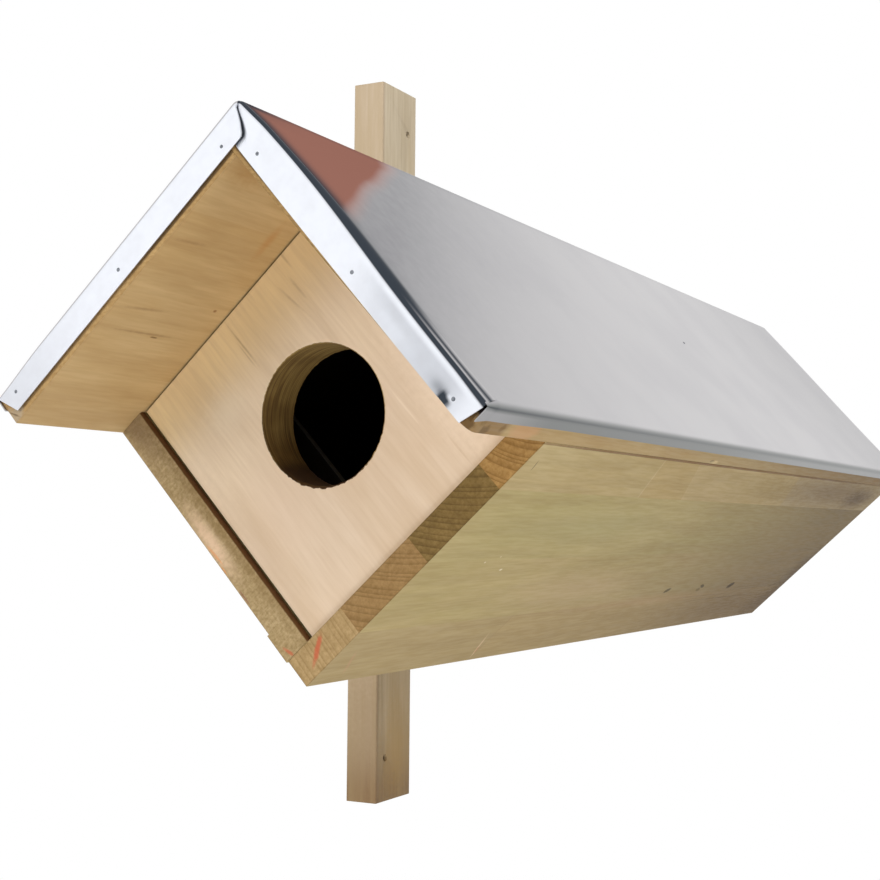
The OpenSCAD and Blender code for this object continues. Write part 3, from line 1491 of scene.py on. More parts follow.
    def slope_masks(self, index: int, y: float) -> dict[str, float]:
        """Painted masks of a point of the slopes and eaves.

        Args:
            index: Number of the outline's point.
            y: Its place along the box.

        Returns:
            The masks, by name.
        """
        point, right = self.points[index], index > self.ridge
        from_front = y - self.low.y
        front = math.exp(-from_front / self.SHADE_FADE)
        masks: dict[str, float] = {}
        # painted shade: the turned-down eave is dimmed except near its front end and far back; the
        # eave bend darkens as it turns down, with a dark line low in it; the ridge bend has a dark
        # line near the front
        if point.stretch is Stretch.TURN:
            lit = 0.78 * fall(y, self.FRONT_EDGE, -0.01) + 0.2 * ease(y, 0.22, 0.42)
            masks["under"] = 1.0 - lit
        elif point.stretch is Stretch.EAVE:
            bend = math.degrees(math.acos(min(1.0, point.normal_u if right else point.normal_v)))
            masks["under"] = ease(bend, 10.0, 60.0)
            masks["fold"] = bell(bend, 74.0, 13.0) * (0.12 + 0.6 * front)
        elif point.stretch is Stretch.RIDGE:
            masks["fold"] = 0.9 * bell(from_front, 0.0, 0.045)
        if right:
            up = self.high.x - point.v
            blur = 7 * MM * noise.noise(Vector((point.v * 30, y * 30, 1.0)))
            edge = 64 * MM - up * 1.75 + blur
            inside = min((edge - y + 12 * MM) / (26 * MM), 1.0 + from_front / (20 * MM))
            masks["stain"] = inside * (1.0 - 0.2 * fall(up, 0.004, 0.014))
            # painted reflection: the right slope mirrors less light near its front by the ridge and
            # towards the back, so it is dimmed there
            from_dim_corner = max(0.0, y + 0.04 - 1.4 * (point.v - 0.09))
            masks["tarnish"] = math.exp(-from_dim_corner / 0.12) + 0.3 * ease(y, 0.42, 0.76)
            if point.stretch is Stretch.SLOPE:
                near = max(0.0, y - self.lip_plane(index, End.FRONT) - self.fold_at(index))
                masks["fold"] = self.slope_painted_shade(point.v, near, from_front)
        return masks

    def slope_painted_shade(self, v: float, near: float, from_front: float) -> float:
        """Painted shade and dark reflection on the right slope, by the front fold and below the
        ridge.

        Args:
            v: Place up the slope.
            near: Distance from the fold.
            from_front: Distance from the sheet's front edge.

        Returns:
            The darkness; it may run past 1.
        """
        below = self.high.x - self.ridge_round - v
        soft = 0.12 + 0.68 * ease(v, 0.07, 0.105)
        return max(
            0.9 * (1.0 - near / (2.6 * MM)) * ease(v, 0.012, 0.05),
            soft * bell(near, 0.0, 6.3 * MM) * ease(v, 0.0, 0.03),
            min(0.95, 1.5 * (1.0 - below / (4.5 * MM))) * bell(from_front, 0.0, 0.03),
            0.35 * (1.0 - below / (14 * MM)) * bell(from_front, 0.0, 0.026),
            0.5 * (1.0 - below / (2.5 * MM)) * math.exp(-from_front / self.SHADE_FADE),
        )

    def stations(self) -> list[float]:
        """Places of the slopes' rows along the box, closer together near the ends."""
        near = [s * MM for s in (6.2, 7.6, 9.2, 12, 16, 22, 30, 40, 52, 66)]
        stained = [s * MM for s in range(76, 170, 10)]
        made = [self.low.y + s for s in near + stained]
        gap = (self.high.y - self.low.y - near[-1] - stained[-1]) / self.far_rows
        made += [made[-1] + gap * k for k in range(1, self.far_rows)]
        return made + [self.high.y - s for s in reversed(near)]

    def add_slopes(self) -> tuple[list[Vert], list[Vert]]:
        """Adds the slopes, ridge and eaves, row by row along the box.

        Returns:
            The front row and the back row.
        """
        rows = []
        for station in (End.FRONT, *self.stations(), End.BACK):
            row = []
            for index, point in enumerate(self.points):
                y = station
                if isinstance(station, End):
                    y = self.lip_plane(index, station) + station.value * self.fold_at(index)
                u, v = self.sprung(point, y)
                if point.stretch is Stretch.SLOPE:
                    place = point.u if index < self.ridge else point.v
                    calm = ease(place, -0.016, 0.02) * ease(self.high.x - place, 0.0, 0.03)
                    swell = 0.5 + 0.5 * noise.noise(Vector((point.u * 9, y * 4, point.v * 9)))
                    u -= point.normal_u * self.wave * calm * swell
                    v -= point.normal_v * self.wave * calm * swell
                row.append(self.vert(u, y, v, **self.slope_masks(index, y)))
            rows.append(row)
        for first, second in zip(rows, rows[1:]):
            for k in range(len(first) - 1):
                self.shape.faces.new((first[k], first[k + 1], second[k + 1], second[k]))
        return rows[0], rows[-1]

    def add_lip(self, row: list[Vert], end: End, left: bool) -> None:
        """Turns the end of one slope down into its lip.

        Args:
            row: The points where the slopes end.
            end: Which end of the box.
            left: Whether it is the left slope.
        """
        flat = (Stretch.SLOPE, Stretch.RIDGE)
        on_slope = [
            k for k, p in enumerate(self.points) if p.stretch in flat and (k <= self.ridge) == left
        ]
        if not left:
            on_slope = [*reversed(on_slope), self.ridge]
        plane = self.lip_plane(0 if left else len(self.points), end)
        last = [row[k] for k in on_slope]
        for step in range(1, self.fold_rows + 1):
            angle = math.pi / 2 * step / self.fold_rows
            now = []
            for k in on_slope:
                point, radius, start = self.points[k], self.fold_at(k), row[k].co
                if not left and k == self.ridge:
                    radius -= self.thickness
                y = plane + end.value * radius * (1 - math.sin(angle))
                drop = radius * (1 - math.cos(angle))
                u, v = start.x - point.normal_u * drop, start.z - point.normal_v * drop
                # painted reflection: the fold's last row takes the lips' near white
                bright = 1.0 if step == self.fold_rows else 0.0
                fold_dark = self.painted_fold_shade(point.v, step, left, end)
                now.append(self.vert(u, y, v, bright=bright, fold=fold_dark))
            self.bridge(last, now, left, end)
            last = now
        outer = [Vector((p.co.x, p.co.z)) for p in last]
        foot, cut, bulge = self.lip_edges(left)
        for r in range(1, self.lip_rows + 1):
            b = r / self.lip_rows
            stop = along_line([outer[-1], *cut], b)
            begin = outer[0].lerp(foot, b)
            now = []
            for k, point in enumerate(outer):
                a = k / (len(outer) - 1)
                inner = foot.lerp(cut[-1], a) + bulge * math.sin(math.pi * a)
                fit = begin.lerp(stop, a) - begin.lerp(outer[-1].lerp(cut[-1], b), a)
                now.append(self.lip_point(point.lerp(inner, b) + fit, plane, left, end, b))
            self.bridge(last, now, left, end)
            last = now

    def lip_edges(self, left: bool) -> tuple[Vector, list[Vector], Vector]:
        """The inner edge of a lip.

        Args:
            left: Whether it is the left lip.

        Returns:
            Its low end, the cut line at its ridge end, and how far its middle bows.
        """
        low = self.low.x + self.lip_bevel
        if left:
            return Vector((low, 158.3 * MM)), self.left_cut, Vector((0.0, 0.2 * MM))
        return Vector((154.8 * MM, low)), [Vector((158.0, 158.0)) * MM], Vector((-0.5 * MM, 0.0))

    def painted_fold_shade(self, v: float, step: int, left: bool, end: End) -> float:
        """How much painted shade and dark reflection a line of the fold takes; low on the right
        fold a painted highlight line runs through it.

        Args:
            v: Place up the section.
            step: Number of the line, from the slope to the lip.
            left: Whether it is the left fold.
            end: Which end of the box.

        Returns:
            The darkness.
        """
        if left or end is End.BACK:
            return 0.75 if step <= 3 else 0.15
        if step == self.fold_rows:
            return 0.25
        return 1.0 + (self.low_fold[step - 1] - 1.0) * fall(v, 0.012, 0.05)

    def lip_point(self, place: Vector, plane: float, left: bool, end: End, b: float) -> Vert:
        """One point of a lip, sunk by its waves and dents.

        Args:
            place: Where it lies in the section.
            plane: Plane of the lip's outer face.
            left: Whether it is the left lip.
            end: Which end of the box.
            b: Share of the lip's width, 0 at the fold.

        Returns:
            The new point.
        """
        u, v = place
        swell = 0.5 + 0.5 * noise.noise(Vector((u * 34, v * 34, 2.0 if left else 7.0)))
        sink = self.wave * swell * min(1.0, 4 * b)
        sink += max(dent.sink(u, v) for dent in self.dents)
        # painted reflection over the whole lip, dimmed as painted shade towards its low end
        low = fall(u if left else v, -0.01, 0.06)
        masks = {"bright": 1.0, "tarnish": (0.2 if left else 0.05) * low}
        # painted shade: a dark line along the left lip's cut end, for its edge and the shadow under
        # it
        if end is End.FRONT and left:
            masks["fold"] = 0.5 * fall(from_line(u, v, self.seam[:-1])[0], 0.1 * MM, 0.5 * MM)
        elif end is End.FRONT:
            # painted shade on the right lip: the shadow along the seam under the left lip, the dark
            # of the hammer dent and a soft shaded crease low on the lip; a painted highlight by the
            # lowest nail clears it
            bruise = self.bruise.sink(u, v)
            seam, share = from_line(u, v, self.seam)
            reach = (0.5 + 1.3 * ease(share, 0.2, 0.75)) * MM
            sink += bruise + self.seam_sunk * fall(seam, 0.0, 3.0 * MM)
            dark = (ease(bruise, 0.06 * MM, 0.42 * MM), fall(seam, 0.5 * reach, 1.25 * reach))
            crease_shade = 0.27 * ease(b, 0.08, 0.28) * ease(v, -0.012, 0.004) * fall(v, 0.045, 0.078)
            crease_shade *= 1.0 - 0.4 * ease(b, 0.35, 0.7) * ease(v, 0.02, 0.04)
            dent_shade = 0.35 * bell(u, 0.158, 0.0028) * bell(v, 0.0062, 0.005)
            shine = bell(u, 0.1588, 0.0014) * bell(v, -0.0002, 0.0022)
            masks["fold"] = (0.95 * max(dark) + crease_shade + dent_shade) * (1.0 - shine)
        return self.vert(u, plane + end.value * min(sink, self.most_sunk), v, **masks)

    def bridge(self, first: list[Vert], second: list[Vert], left: bool, end: End) -> None:
        """Joins two rows of points with faces that look the same way as the slope's.

        Args:
            first: The row nearer to the slope.
            second: The next row.
            left: Whether it is the left lip.
            end: Which end of the box.
        """
        turned = left == (end is End.FRONT)
        for k in range(len(first) - 1):
            ring = (first[k], second[k], second[k + 1], first[k + 1])
            self.shape.faces.new(ring if turned else ring[::-1])

    def thicken(self, skin: Mesh) -> Mesh:
        """Gives the sheet its thickness inwards.

        Args:
            skin: The sheet's outer surface.

        Returns:
            The closed mesh.
        """
        holder = link("sheet_holder", skin)
        wall = holder.modifiers.new("thickness", "SOLIDIFY")
        wall.thickness = self.thickness * self.wall_share
        wall.offset = -1.0
        return settle(holder)


@dataclass
class Nails:
    """The nails through the lips and the slopes, set by one node tree."""

    head_radius: float = 1.0 * MM
    head_height: float = 0.45 * MM
    sunk: float = 0.05 * MM
    slope_sunk: float = 0.15 * MM
    slope_place: Pair = (364 * MM, 88 * MM)
    finish: NailFinish = NailFinish()

    def tree(self) -> Tree:
        """Node tree that sets a head on each point, facing the way stored there."""
        tree = bpy.data.node_groups.new("nail_heads", "GeometryNodeTree")
        sockets = {"Geometry": "Geometry", "Head Radius": "Float"}
        sockets |= {"Head Height": "Float", "Finish": "Material"}
        for name, kind in sockets.items():
            tree.interface.new_socket(name, in_out="INPUT", socket_type=f"NodeSocket{kind}")
        tree.interface.new_socket("Geometry", in_out="OUTPUT", socket_type="NodeSocketGeometry")
        g = Graph(tree)
        given, out = g.add("NodeGroupInput").outputs, g.add("NodeGroupOutput").inputs
        ball = g.add("GeometryNodeMeshUVSphere", {"Segments": 20, "Rings": 10, "Radius": 1.0})
        wide, high = given["Head Radius"], given["Head Height"]
        size = g.add("ShaderNodeCombineXYZ", {"X": wide, "Y": wide, "Z": high}).outputs[0]
        head = {"Geometry": ball.outputs["Mesh"], "Scale": size}
        shaped = g.add("GeometryNodeTransform", head).outputs[0]
        name = {"Name": "facing"}
        stored = g.add("GeometryNodeInputNamedAttribute", name, data_type="FLOAT_VECTOR")
        facing = {"Vector": stored.outputs["Attribute"]}
        turn = g.add("FunctionNodeAlignRotationToVector", facing, axis="Z").outputs[0]
        heads = {"Points": given["Geometry"], "Instance": shaped, "Rotation": turn}
        made = g.add("GeometryNodeInstanceOnPoints", heads).outputs[0]
        made = g.add("GeometryNodeRealizeInstances", {"Geometry": made}).outputs[0]
        made = g.add("GeometryNodeSetShadeSmooth", {"Geometry": made}).outputs[0]
        dressed = {"Geometry": made, "Material": given["Finish"]}
        return g.fill(out, Geometry=g.add("GeometryNodeSetMaterial", dressed).outputs[0])

    def places(self, section: Section, sheet: RoofSheet) -> list[Span]:
        """Places of the nails and the ways they face, in the section frame.

        Args:
            section: The section frame.
            sheet: The roof sheet that they hold.

        Returns:
            A place and a way for each nail.
        """
        low, high = section.span("roof_sheet")
        made = []
        for u, v in sheet.nail_places:
            under = 0.0 if v > u else sheet.thickness
            deep = under + self.head_height + self.sunk
            made.append((Vector((u, low.y + deep, v)), Vector((0.0, -1.0, 0.0))))
            made.append((Vector((u, high.y - deep, v)), Vector((0.0, 1.0, 0.0))))
        y, up = self.slope_place
        left = OutlinePoint(up, high.x, 0.0, 1.0, Stretch.SLOPE)
        for point in (left.mirrored(), left):
            u, v = sheet.sprung(point, y)
            way = Vector((point.normal_u, 0.0, point.normal_v))
            made.append((Vector((u, y, v)) - way * self.slope_sunk, way))
        return made

    def build(self, section: Section, sheet: RoofSheet) -> Piece:
        """Builds and dresses the nails.

        Args:
            section: The section frame.
            sheet: The roof sheet that they hold.

        Returns:
            The nails' object.
        """
        to_row = section.to_row
        places = self.places(section, sheet)
        points = bpy.data.meshes.new("nail_places")
        points.from_pydata([to_row @ place for place, _ in places], [], [])
        facing = points.attributes.new("facing", "FLOAT_VECTOR", "POINT")
        for stored, (_, way) in zip(facing.data, places):
            stored.vector = to_row.to_3x3() @ way
        holder = link("nail_holder", points)
        setter = holder.modifiers.new("nail_heads", "NODES")
        setter.node_group = tree = self.tree()
        values = {"Head Radius": self.head_radius, "Head Height": self.head_height}
        values["Finish"] = self.finish.material()
        for item in tree.interface.items_tree:
            if item.in_out == "INPUT" and item.name in values:
                setter[item.identifier] = values[item.name]
        return place_piece("sheet_nails", settle(holder), [], "sheet_metal")


# ---------------------------------------------------------------- wood looks


def spot(
    place: Triple,
    size: Triple,
    colour: Colour,
    strength: float,
    turn: Triple = (0, 0, 0),
    softness: float = 0.6,
    ragged: float = 0.6,
) -> Mark:
    """A mark whose place and size are given in millimetres and its turn in degrees."""
    lies, reach = tuple(p * MM for p in place), tuple(s * MM for s in size)
    turned = tuple(math.radians(a) for a in turn)
    return Mark(lies, reach, colour, strength, turned, softness, ragged)


def marks_on(axis: Axis, level: Pair, rows: tuple[tuple, ...]) -> tuple[Mark, ...]:
    """Marks on one side of a board.

    Args:
        axis: Which way the side looks.
        level: The side's place along that axis and how deep the marks go, in millimetres.
        rows: For each mark its place and its size along the two other axes in millimetres,
            its colour, its strength and, where they aren't plain, its turn in degrees, its
            softness and how ragged it is.

    Returns:
        The marks.
    """
    made, k = [], axis.value
    for place, size, colour, strength, *rest in rows:
        lies = (*place[:k], level[0], *place[k:])
        reach = (*size[:k], level[1], *size[k:])
        turn = (0,) * k + ((rest[0] if rest else 0),) + (0,) * (2 - k)
        made.append(spot(lies, reach, colour, strength, turn, *rest[1:]))
    return tuple(made)


def face_marks(level: Pair, *rows: tuple) -> tuple[Mark, ...]:
    """Marks on the face of a board that looks along v, placed by u and y."""
    return marks_on(Axis.Z, level, rows)


def end_marks(level: Pair, *rows: tuple) -> tuple[Mark, ...]:
    """Marks on the end of a board, or on a panel, placed by u and v."""
    return marks_on(Axis.Y, level, rows)


STREAK = (132, 96, 52)
KNOT = (88, 72, 40)
RED = (186, 96, 66)
# painted shade: the dark line under a lip's inner edge
LIP_EDGE_SHADE = (70, 50, 24)
SCREW_HOLE = (52, 40, 22)
EVERY_STAVE = (1, 2, 3, 4)

PANEL = WoodFinish(
    name="panel_face", pale=(225, 203, 178), dark=(188, 157, 122), drift=(212, 187, 157),
    heart=(0.03, -0.33), ring=0.0065, wander=0.012, ring_show=0.12, streak_show=0.15,
    fibre_show=0.14, drift_show=0.7, seed=4.0, grain=Grain.UP_LEFT_WALL, relief=0.15, edge_show=0.1,
    # painted light: the panel's upper part, which the roof shades, is painted lighter and more
    # golden towards the top
    fades=(
        Fade(Axis.Z, 0.05, 0.112, (255, 234, 204), 0.75),
        Fade(Axis.Z, 0.108, 0.146, (252, 224, 170), 0.85),
    ),
    marks=end_marks(
        (3, 10),
        ((113.8, 151), (1.1, 9), STREAK, 0.3, 0, 1.0),
        ((109.3, 134.5), (1.3, 12), STREAK, 0.3, 0, 1.0),
        ((103, 131.5), (1.1, 16), STREAK, 0.25, -8, 1.0),
        ((67, 137), (0.9, 20), STREAK, 0.4, 0, 1.0),
        ((65.4, 131), (0.8, 12), STREAK, 0.3, 0, 1.0),
        ((113, 48), (0.7, 14), (236, 216, 192), 0.5),
        ((120.5, 12.5), (0.8, 12), (200, 172, 140), 0.5),
        # The soft spots at (133, 38) and (38, 119) are painted light, lifting the panel beside the
        # right roof board and under the left roof, where they shade it; the spot at (8, 60) darkens
        # the panel along the left wall.
        ((30, 60), (26, 40), (224, 198, 172), 0.4, 0, 1.0),
        ((8, 60), (10, 80), (200, 174, 146), 0.35, 0, 1.0),
        ((133, 38), (18, 80), (252, 232, 210), 0.5, 0, 1.0),
        ((38, 119), (24, 16), (255, 240, 214), 0.4, 0, 1.0),
    ),
)
# painted shade: the panel's edges show in the gaps round it and are painted dark brown, like the
# shadow there
PANEL_EDGE = replace(
    PANEL,
    name="panel_edge", pale=(90, 64, 36), dark=(56, 38, 20), drift=(80, 56, 30), edge_show=0.0,
    fades=(),
)

# painted shade: the wall's fade darkens it towards the back, as the light falls off along the box
WALL = WoodFinish(
    name="wall_face", pale=(202, 182, 128), dark=(150, 125, 80), drift=(186, 168, 111), ring=0.0085,
    wander=0.008, ring_show=0.14, streak_show=0.27, fibre_show=0.17, drift_show=0.8, relief=0.15,
    edge_show=0.12, fades=(Fade(Axis.Y, 0.1, 0.78, (104, 83, 60), 0.82),),
)
WALL_END = WoodFinish(
    name="wall_end", pale=(150, 124, 78), dark=(84, 64, 30), drift=(126, 104, 60), ring=0.003,
    wander=0.004, ring_show=0.8, streak_show=0.3, fibre_show=0.35, drift_show=0.5, roughness=0.75,
    relief=0.4, edge=(60, 44, 22), edge_show=0.35, edge_width=0.0007,
)
ROOF = WoodFinish(
    name="roof_face", pale=(208, 179, 130), dark=(158, 121, 72), drift=(194, 161, 109), ring=0.011,
    wander=0.01, ring_show=0.22, streak_show=0.22, fibre_show=0.14, drift_show=0.8, relief=0.15,
    edge_show=0.1,
)
ROOF_END = replace(
    ROOF,
    name="roof_end", pale=(170, 138, 88), dark=(108, 78, 40), ring=0.0026, ring_show=0.4,
    fibre_show=0.3, drift_show=0.4,
)
BATTEN = WoodFinish(
    name="batten_face", pale=(217, 201, 174), dark=(168, 146, 108), drift=(204, 186, 152),
    heart=(0.06, -0.09), ring=0.005, ring_show=0.25, streak_show=0.22, fibre_show=0.12,
    drift_show=0.7, seed=31.0, grain=Grain.UPRIGHT, edge_show=0.06,
    # The fades along z darken the batten towards its foot, partly as painted shade below the box
    # and partly as a darker wood tone; the fade along y darkens its front face alone, as painted
    # shade.
    fades=(
        Fade(Axis.Z, 0.0, -0.15, (202, 177, 140), 0.6),
        Fade(Axis.Y, -0.0205, -0.0236, (182, 161, 136), 0.75),
        Fade(Axis.Z, -0.19, -0.25, (110, 78, 42), 0.85),
    ),
    marks=(
        # partly painted shade below the box, partly a darker tone
        spot((24, -24, -195), (60, 6, 75), (146, 122, 90), 0.6, softness=1.0),
        spot((24, 4, -212), (2, 36, 60), (196, 156, 88), 0.4, softness=1.0),
        spot((11, 12, 222), (12.7, 5.8, 5.8), SCREW_HOLE, 0.95, softness=0.15, ragged=0.1),
        spot((11, -12, -222), (12.7, 5.8, 5.8), SCREW_HOLE, 0.95, softness=0.15, ragged=0.1),
    ),
)


def stave_looks(
    board: WoodFinish, end: WoodFinish, name: str, changes: tuple[dict, ...]
) -> tuple[StaveLook, ...]:
    """The looks of a board's staves.

    Args:
        board: Finish of the board's faces.
        end: Finish of its ends.
        name: Name of the board.
        changes: For each stave, what differs on its face and, under "end", on its end.

    Returns:
        One look for each stave.
    """
    looks = []
    for number, change in enumerate(changes, start=1):
        seed = board.seed + 13.0 * number + len(name)
        on_face = {key: value for key, value in change.items() if key != "end"}
        on_end = change.get("end", {})
        looks.append(
            StaveLook(
                replace(board, name=f"{name}_face_{number}", seed=seed, **on_face),
                replace(end, name=f"{name}_end_{number}", seed=seed, **on_end),
            )
        )
    return tuple(looks)


def right_wall() -> StaveBoard:
    """The right wall board, which runs down to the bottom edge."""
    face = replace(
        WALL,
        marks=face_marks(
            (-16, 9),
            ((21.5, 520), (1.0, 110), (112, 92, 58), 0.4, 0.6, 0.8),
            ((16.0, 590), (1.2, 130), (104, 82, 50), 0.4, 0.4, 0.8),
            ((32.9, 421), (3.2, 6.2), (76, 60, 24), 0.85, -12, 0.5),
            ((34.2, 499), (2.0, 7.4), (72, 54, 20), 0.9, 13, 0.5),
            ((30.2, 497), (2.6, 7.5), (96, 80, 36), 0.6, 13),
            ((31.4, 578.6), (4.3, 8.4), (56, 36, 8), 0.95, -7, 0.45),
            ((25.1, 719), (1.8, 14), KNOT, 0.5, -14),
            ((66.2, 91), (1.1, 2.2), (240, 230, 200), 0.8),
            ((72.6, 62.6), (0.8, 1.2), (240, 230, 200), 0.7),
            ((76.5, 75), (0.7, 1.0), (236, 224, 190), 0.6),
            ((140.5, 12), (4.6, 0.5), (96, 72, 36), 0.8, -14),
            ((-2.6, 168.5), (14.5, 1.3), (226, 196, 160), 0.6, -22),
            ((-6, 170.5), (4, 0.9), RED, 0.5, -22),
            ((0, 21), (13, 1.6), (196, 150, 116), 0.4, -27),
            # painted shade: a dark line along the wall's top, in the gap under the roof board's
            # edge
            ((154.2, 300), (1.1, 460), (112, 72, 34), 0.75, 0, 0.5, 0.3),
            ((45, 230), (26, 150), (198, 170, 132), 0.45, 0, 1.0),
            ((100, 160), (22, 170), (180, 168, 120), 0.45, 0, 1.0),
            ((24, 400), (9, 240), (184, 150, 110), 0.4, 0, 1.0),
            # The large soft dark marks at y 600 and beyond are painted shade: at the top under the
            # roof, and low down.
            ((4, 640), (45, 260), (100, 76, 46), 0.5, 0, 1.0),
            ((142, 600), (26, 240), (104, 80, 52), 0.6, 0, 1.0),
            ((137, 690), (18, 70), (80, 58, 34), 0.7, 0, 1.0),
            ((-2, 735), (36, 70), (84, 60, 30), 0.5, 0, 1.0),
            ((140, 400), (24, 110), (150, 124, 66), 0.4, 0, 1.0),
            ((34, 768), (68, 62), (78, 58, 32), 0.7, 0, 1.0),
        ),
    )
    changes = (
        {
            "pale": (189, 166, 119), "drift": (175, 151, 102), "heart": (-0.2, -0.2),
            "blocks": (Block(0.1735, 0.0, (192, 164, 112), 0.3, (170, 138, 94), 0.0008, 0.0),),
            "end": {
                "pale": (184, 156, 112), "dark": (128, 102, 60), "drift": (168, 140, 96),
                "heart": (0.3, -0.02), "ring_show": 0.6,
                "marks": end_marks((0, 9), ((0.9, -6.6), (2.1, 11), RED, 0.9, 57, 0.7, 0.8)),
            },
        },
        {
            "pale": (197, 175, 123), "heart": (-0.1, -0.3),
            "end": {
                "pale": (163, 131, 87), "dark": (112, 84, 46), "drift": (146, 114, 68),
                "heart": (0.2, 0.14),
            },
        },
        {
            "pale": (197, 179, 124), "drift": (182, 166, 109), "heart": (0.0, -0.22),
            "end": {
                "pale": (136, 111, 66), "dark": (80, 60, 28), "drift": (112, 90, 46),
                "heart": (0.22, 0.11),
            },
        },
        {
            "pale": (205, 184, 134), "drift": (192, 168, 115), "heart": (0.2, -0.12),
            "blocks": (
                Block(0.1644, 0.5, (196, 164, 106), 0.35, (214, 194, 150)),
                Block(0.2238, 1.0, (202, 180, 134), 0.5, (204, 180, 134)),
                Block(0.4507, 0.89, (176, 158, 128), 0.5, (182, 160, 122)),
            ),
            "end": {
                "pale": (178, 141, 86), "dark": (112, 78, 36), "drift": (158, 120, 66),
                "heart": (0.19, 0.02),
            },
        },
    )
    looks = stave_looks(face, WALL_END, "right_wall", changes)
    return StaveBoard("right_wall_stave", "wall_wood", looks, Side.U_LOW, Side.U_HIGH)


def left_wall() -> StaveBoard:
    """The left wall board: its lowest stave is proud, and its inner front edge is worn, with
    painted shade along it.
    """
    # painted shade: a dark brown strip along the inner front edge, on the end and the inner face,
    # where the recess before the panel lies in shadow
    shade = end_marks((0, 4.5), ((0.6, 77), (2.3, 260), (82, 50, 19), 1.0, 0, 0.32, 0.16))
    end = replace(
        WALL_END,
        pale=(190, 166, 126), dark=(124, 102, 62), drift=(166, 142, 98), heart=(-0.01, 0.42),
        ring=0.0023, ring_show=0.3, fibre_show=0.5, edge_show=0.25,
        marks=end_marks(
            (0, 9),
            ((-11.5, 74), (7, 34), (228, 196, 164), 0.8, 0, 1.0),
            ((-3.5, 70), (4.5, 95), (126, 102, 62), 0.6, 0, 0.9, 1.6),
            ((-8, 150), (12, 30), (150, 126, 96), 0.6, 0, 1.0),
            ((-14.2, 68), (0.9, 9), (222, 150, 96), 0.6, -4),
            ((-15.0, 58), (0.6, 4), (222, 150, 96), 0.6),
            ((-14.7, 40), (0.7, 6), (120, 60, 60), 0.5),
            ((-12.4, 3.0), (1.3, 5.5), RED, 0.75, -20, 0.7, 1.0),
        )
        + shade,
    )
    face = replace(WALL, marks=shade)
    looks = stave_looks(face, end, "left_wall", ({},) * 4)
    worn = (Rounding(EVERY_STAVE, Side.U_HIGH, Side.Y_LOW, 1.5 * MM),)
    return StaveBoard("left_wall_stave", "wall_wood", looks, Side.V_LOW, Side.V_HIGH, worn)


def right_roof() -> StaveBoard:
    """The right roof board, from its eave to the ridge; painted shade darkens its low front corner.
    """
    # painted shade: the low front corner, in the gap under the sheet's lip and eave
    corner_shade = (
        spot((168, -76, -15), (6.5, 5, 5), (44, 34, 34), 1.0, softness=0.35, ragged=0.4),
        spot((156.5, -77, -12.5), (5.5, 6, 3.4), (92, 66, 32), 0.85, softness=0.5, ragged=1.0),
        spot((161, -72, -16), (2.2, 3, 4), (132, 106, 62), 0.6, ragged=1.0),
    )
    edge = replace(
        ROOF,
        pale=(200, 176, 128), drift=(188, 158, 108),
        # painted shade: the eave face darkens under the sheet's flange towards the back; its front
        # end is darker too
        fades=(
            Fade(Axis.Y, 0.08, 0.7, (112, 92, 66), 0.72),
            Fade(Axis.Y, -0.045, -0.052, (140, 112, 74), 0.8),
        ),
        marks=face_marks(
            (-16, 6),
            ((160, -30), (9, 17), (210, 160, 114), 0.6, 0, 0.5, 0.4),
            ((157, 239.8), (1.4, 5), KNOT, 0.8),
            ((156.6, 244), (1.8, 9), (238, 214, 160), 0.5),
            ((157.5, -66), (3.2, 4.5), (104, 78, 40), 0.7, 0, 0.6, 1.2),
            ((159.5, -52), (2.6, 3.6), (118, 88, 46), 0.6, 0, 0.6, 1.2),
        )
        + corner_shade,
    )
    end = replace(
        ROOF_END,
        marks=end_marks(
            (-78, 9),
            # painted shade: a dark line under the right lip's inner edge, and a dark patch under
            # its low end
            ((157.6, 75), (1.3, 200), LIP_EDGE_SHADE, 0.9, 0, 0.7, 0.3),
            ((163, -13.6), (12, 3.6), (84, 60, 30), 0.9, -14, 0.5, 0.8),
        )
        + corner_shade,
    )
    looks = stave_looks(edge, end, "right_roof", ({},) * 4)
    rounded = (
        Rounding((1,), Side.U_HIGH, Side.Y_LOW, 12.5 * MM),
        Rounding((2, 3, 4), Side.U_HIGH, Side.Y_LOW, 4.5 * MM),
        Rounding(EVERY_STAVE, Side.U_HIGH, Side.Y_HIGH, 4.5 * MM),
        Rounding((1,), Side.U_HIGH, Side.V_LOW, 7.5 * MM),
        Rounding((1,), Side.Y_LOW, Side.V_LOW, 6.5 * MM),
    )
    return StaveBoard("right_roof_stave", "roof_wood", looks, Side.V_LOW, Side.V_HIGH, rounded)


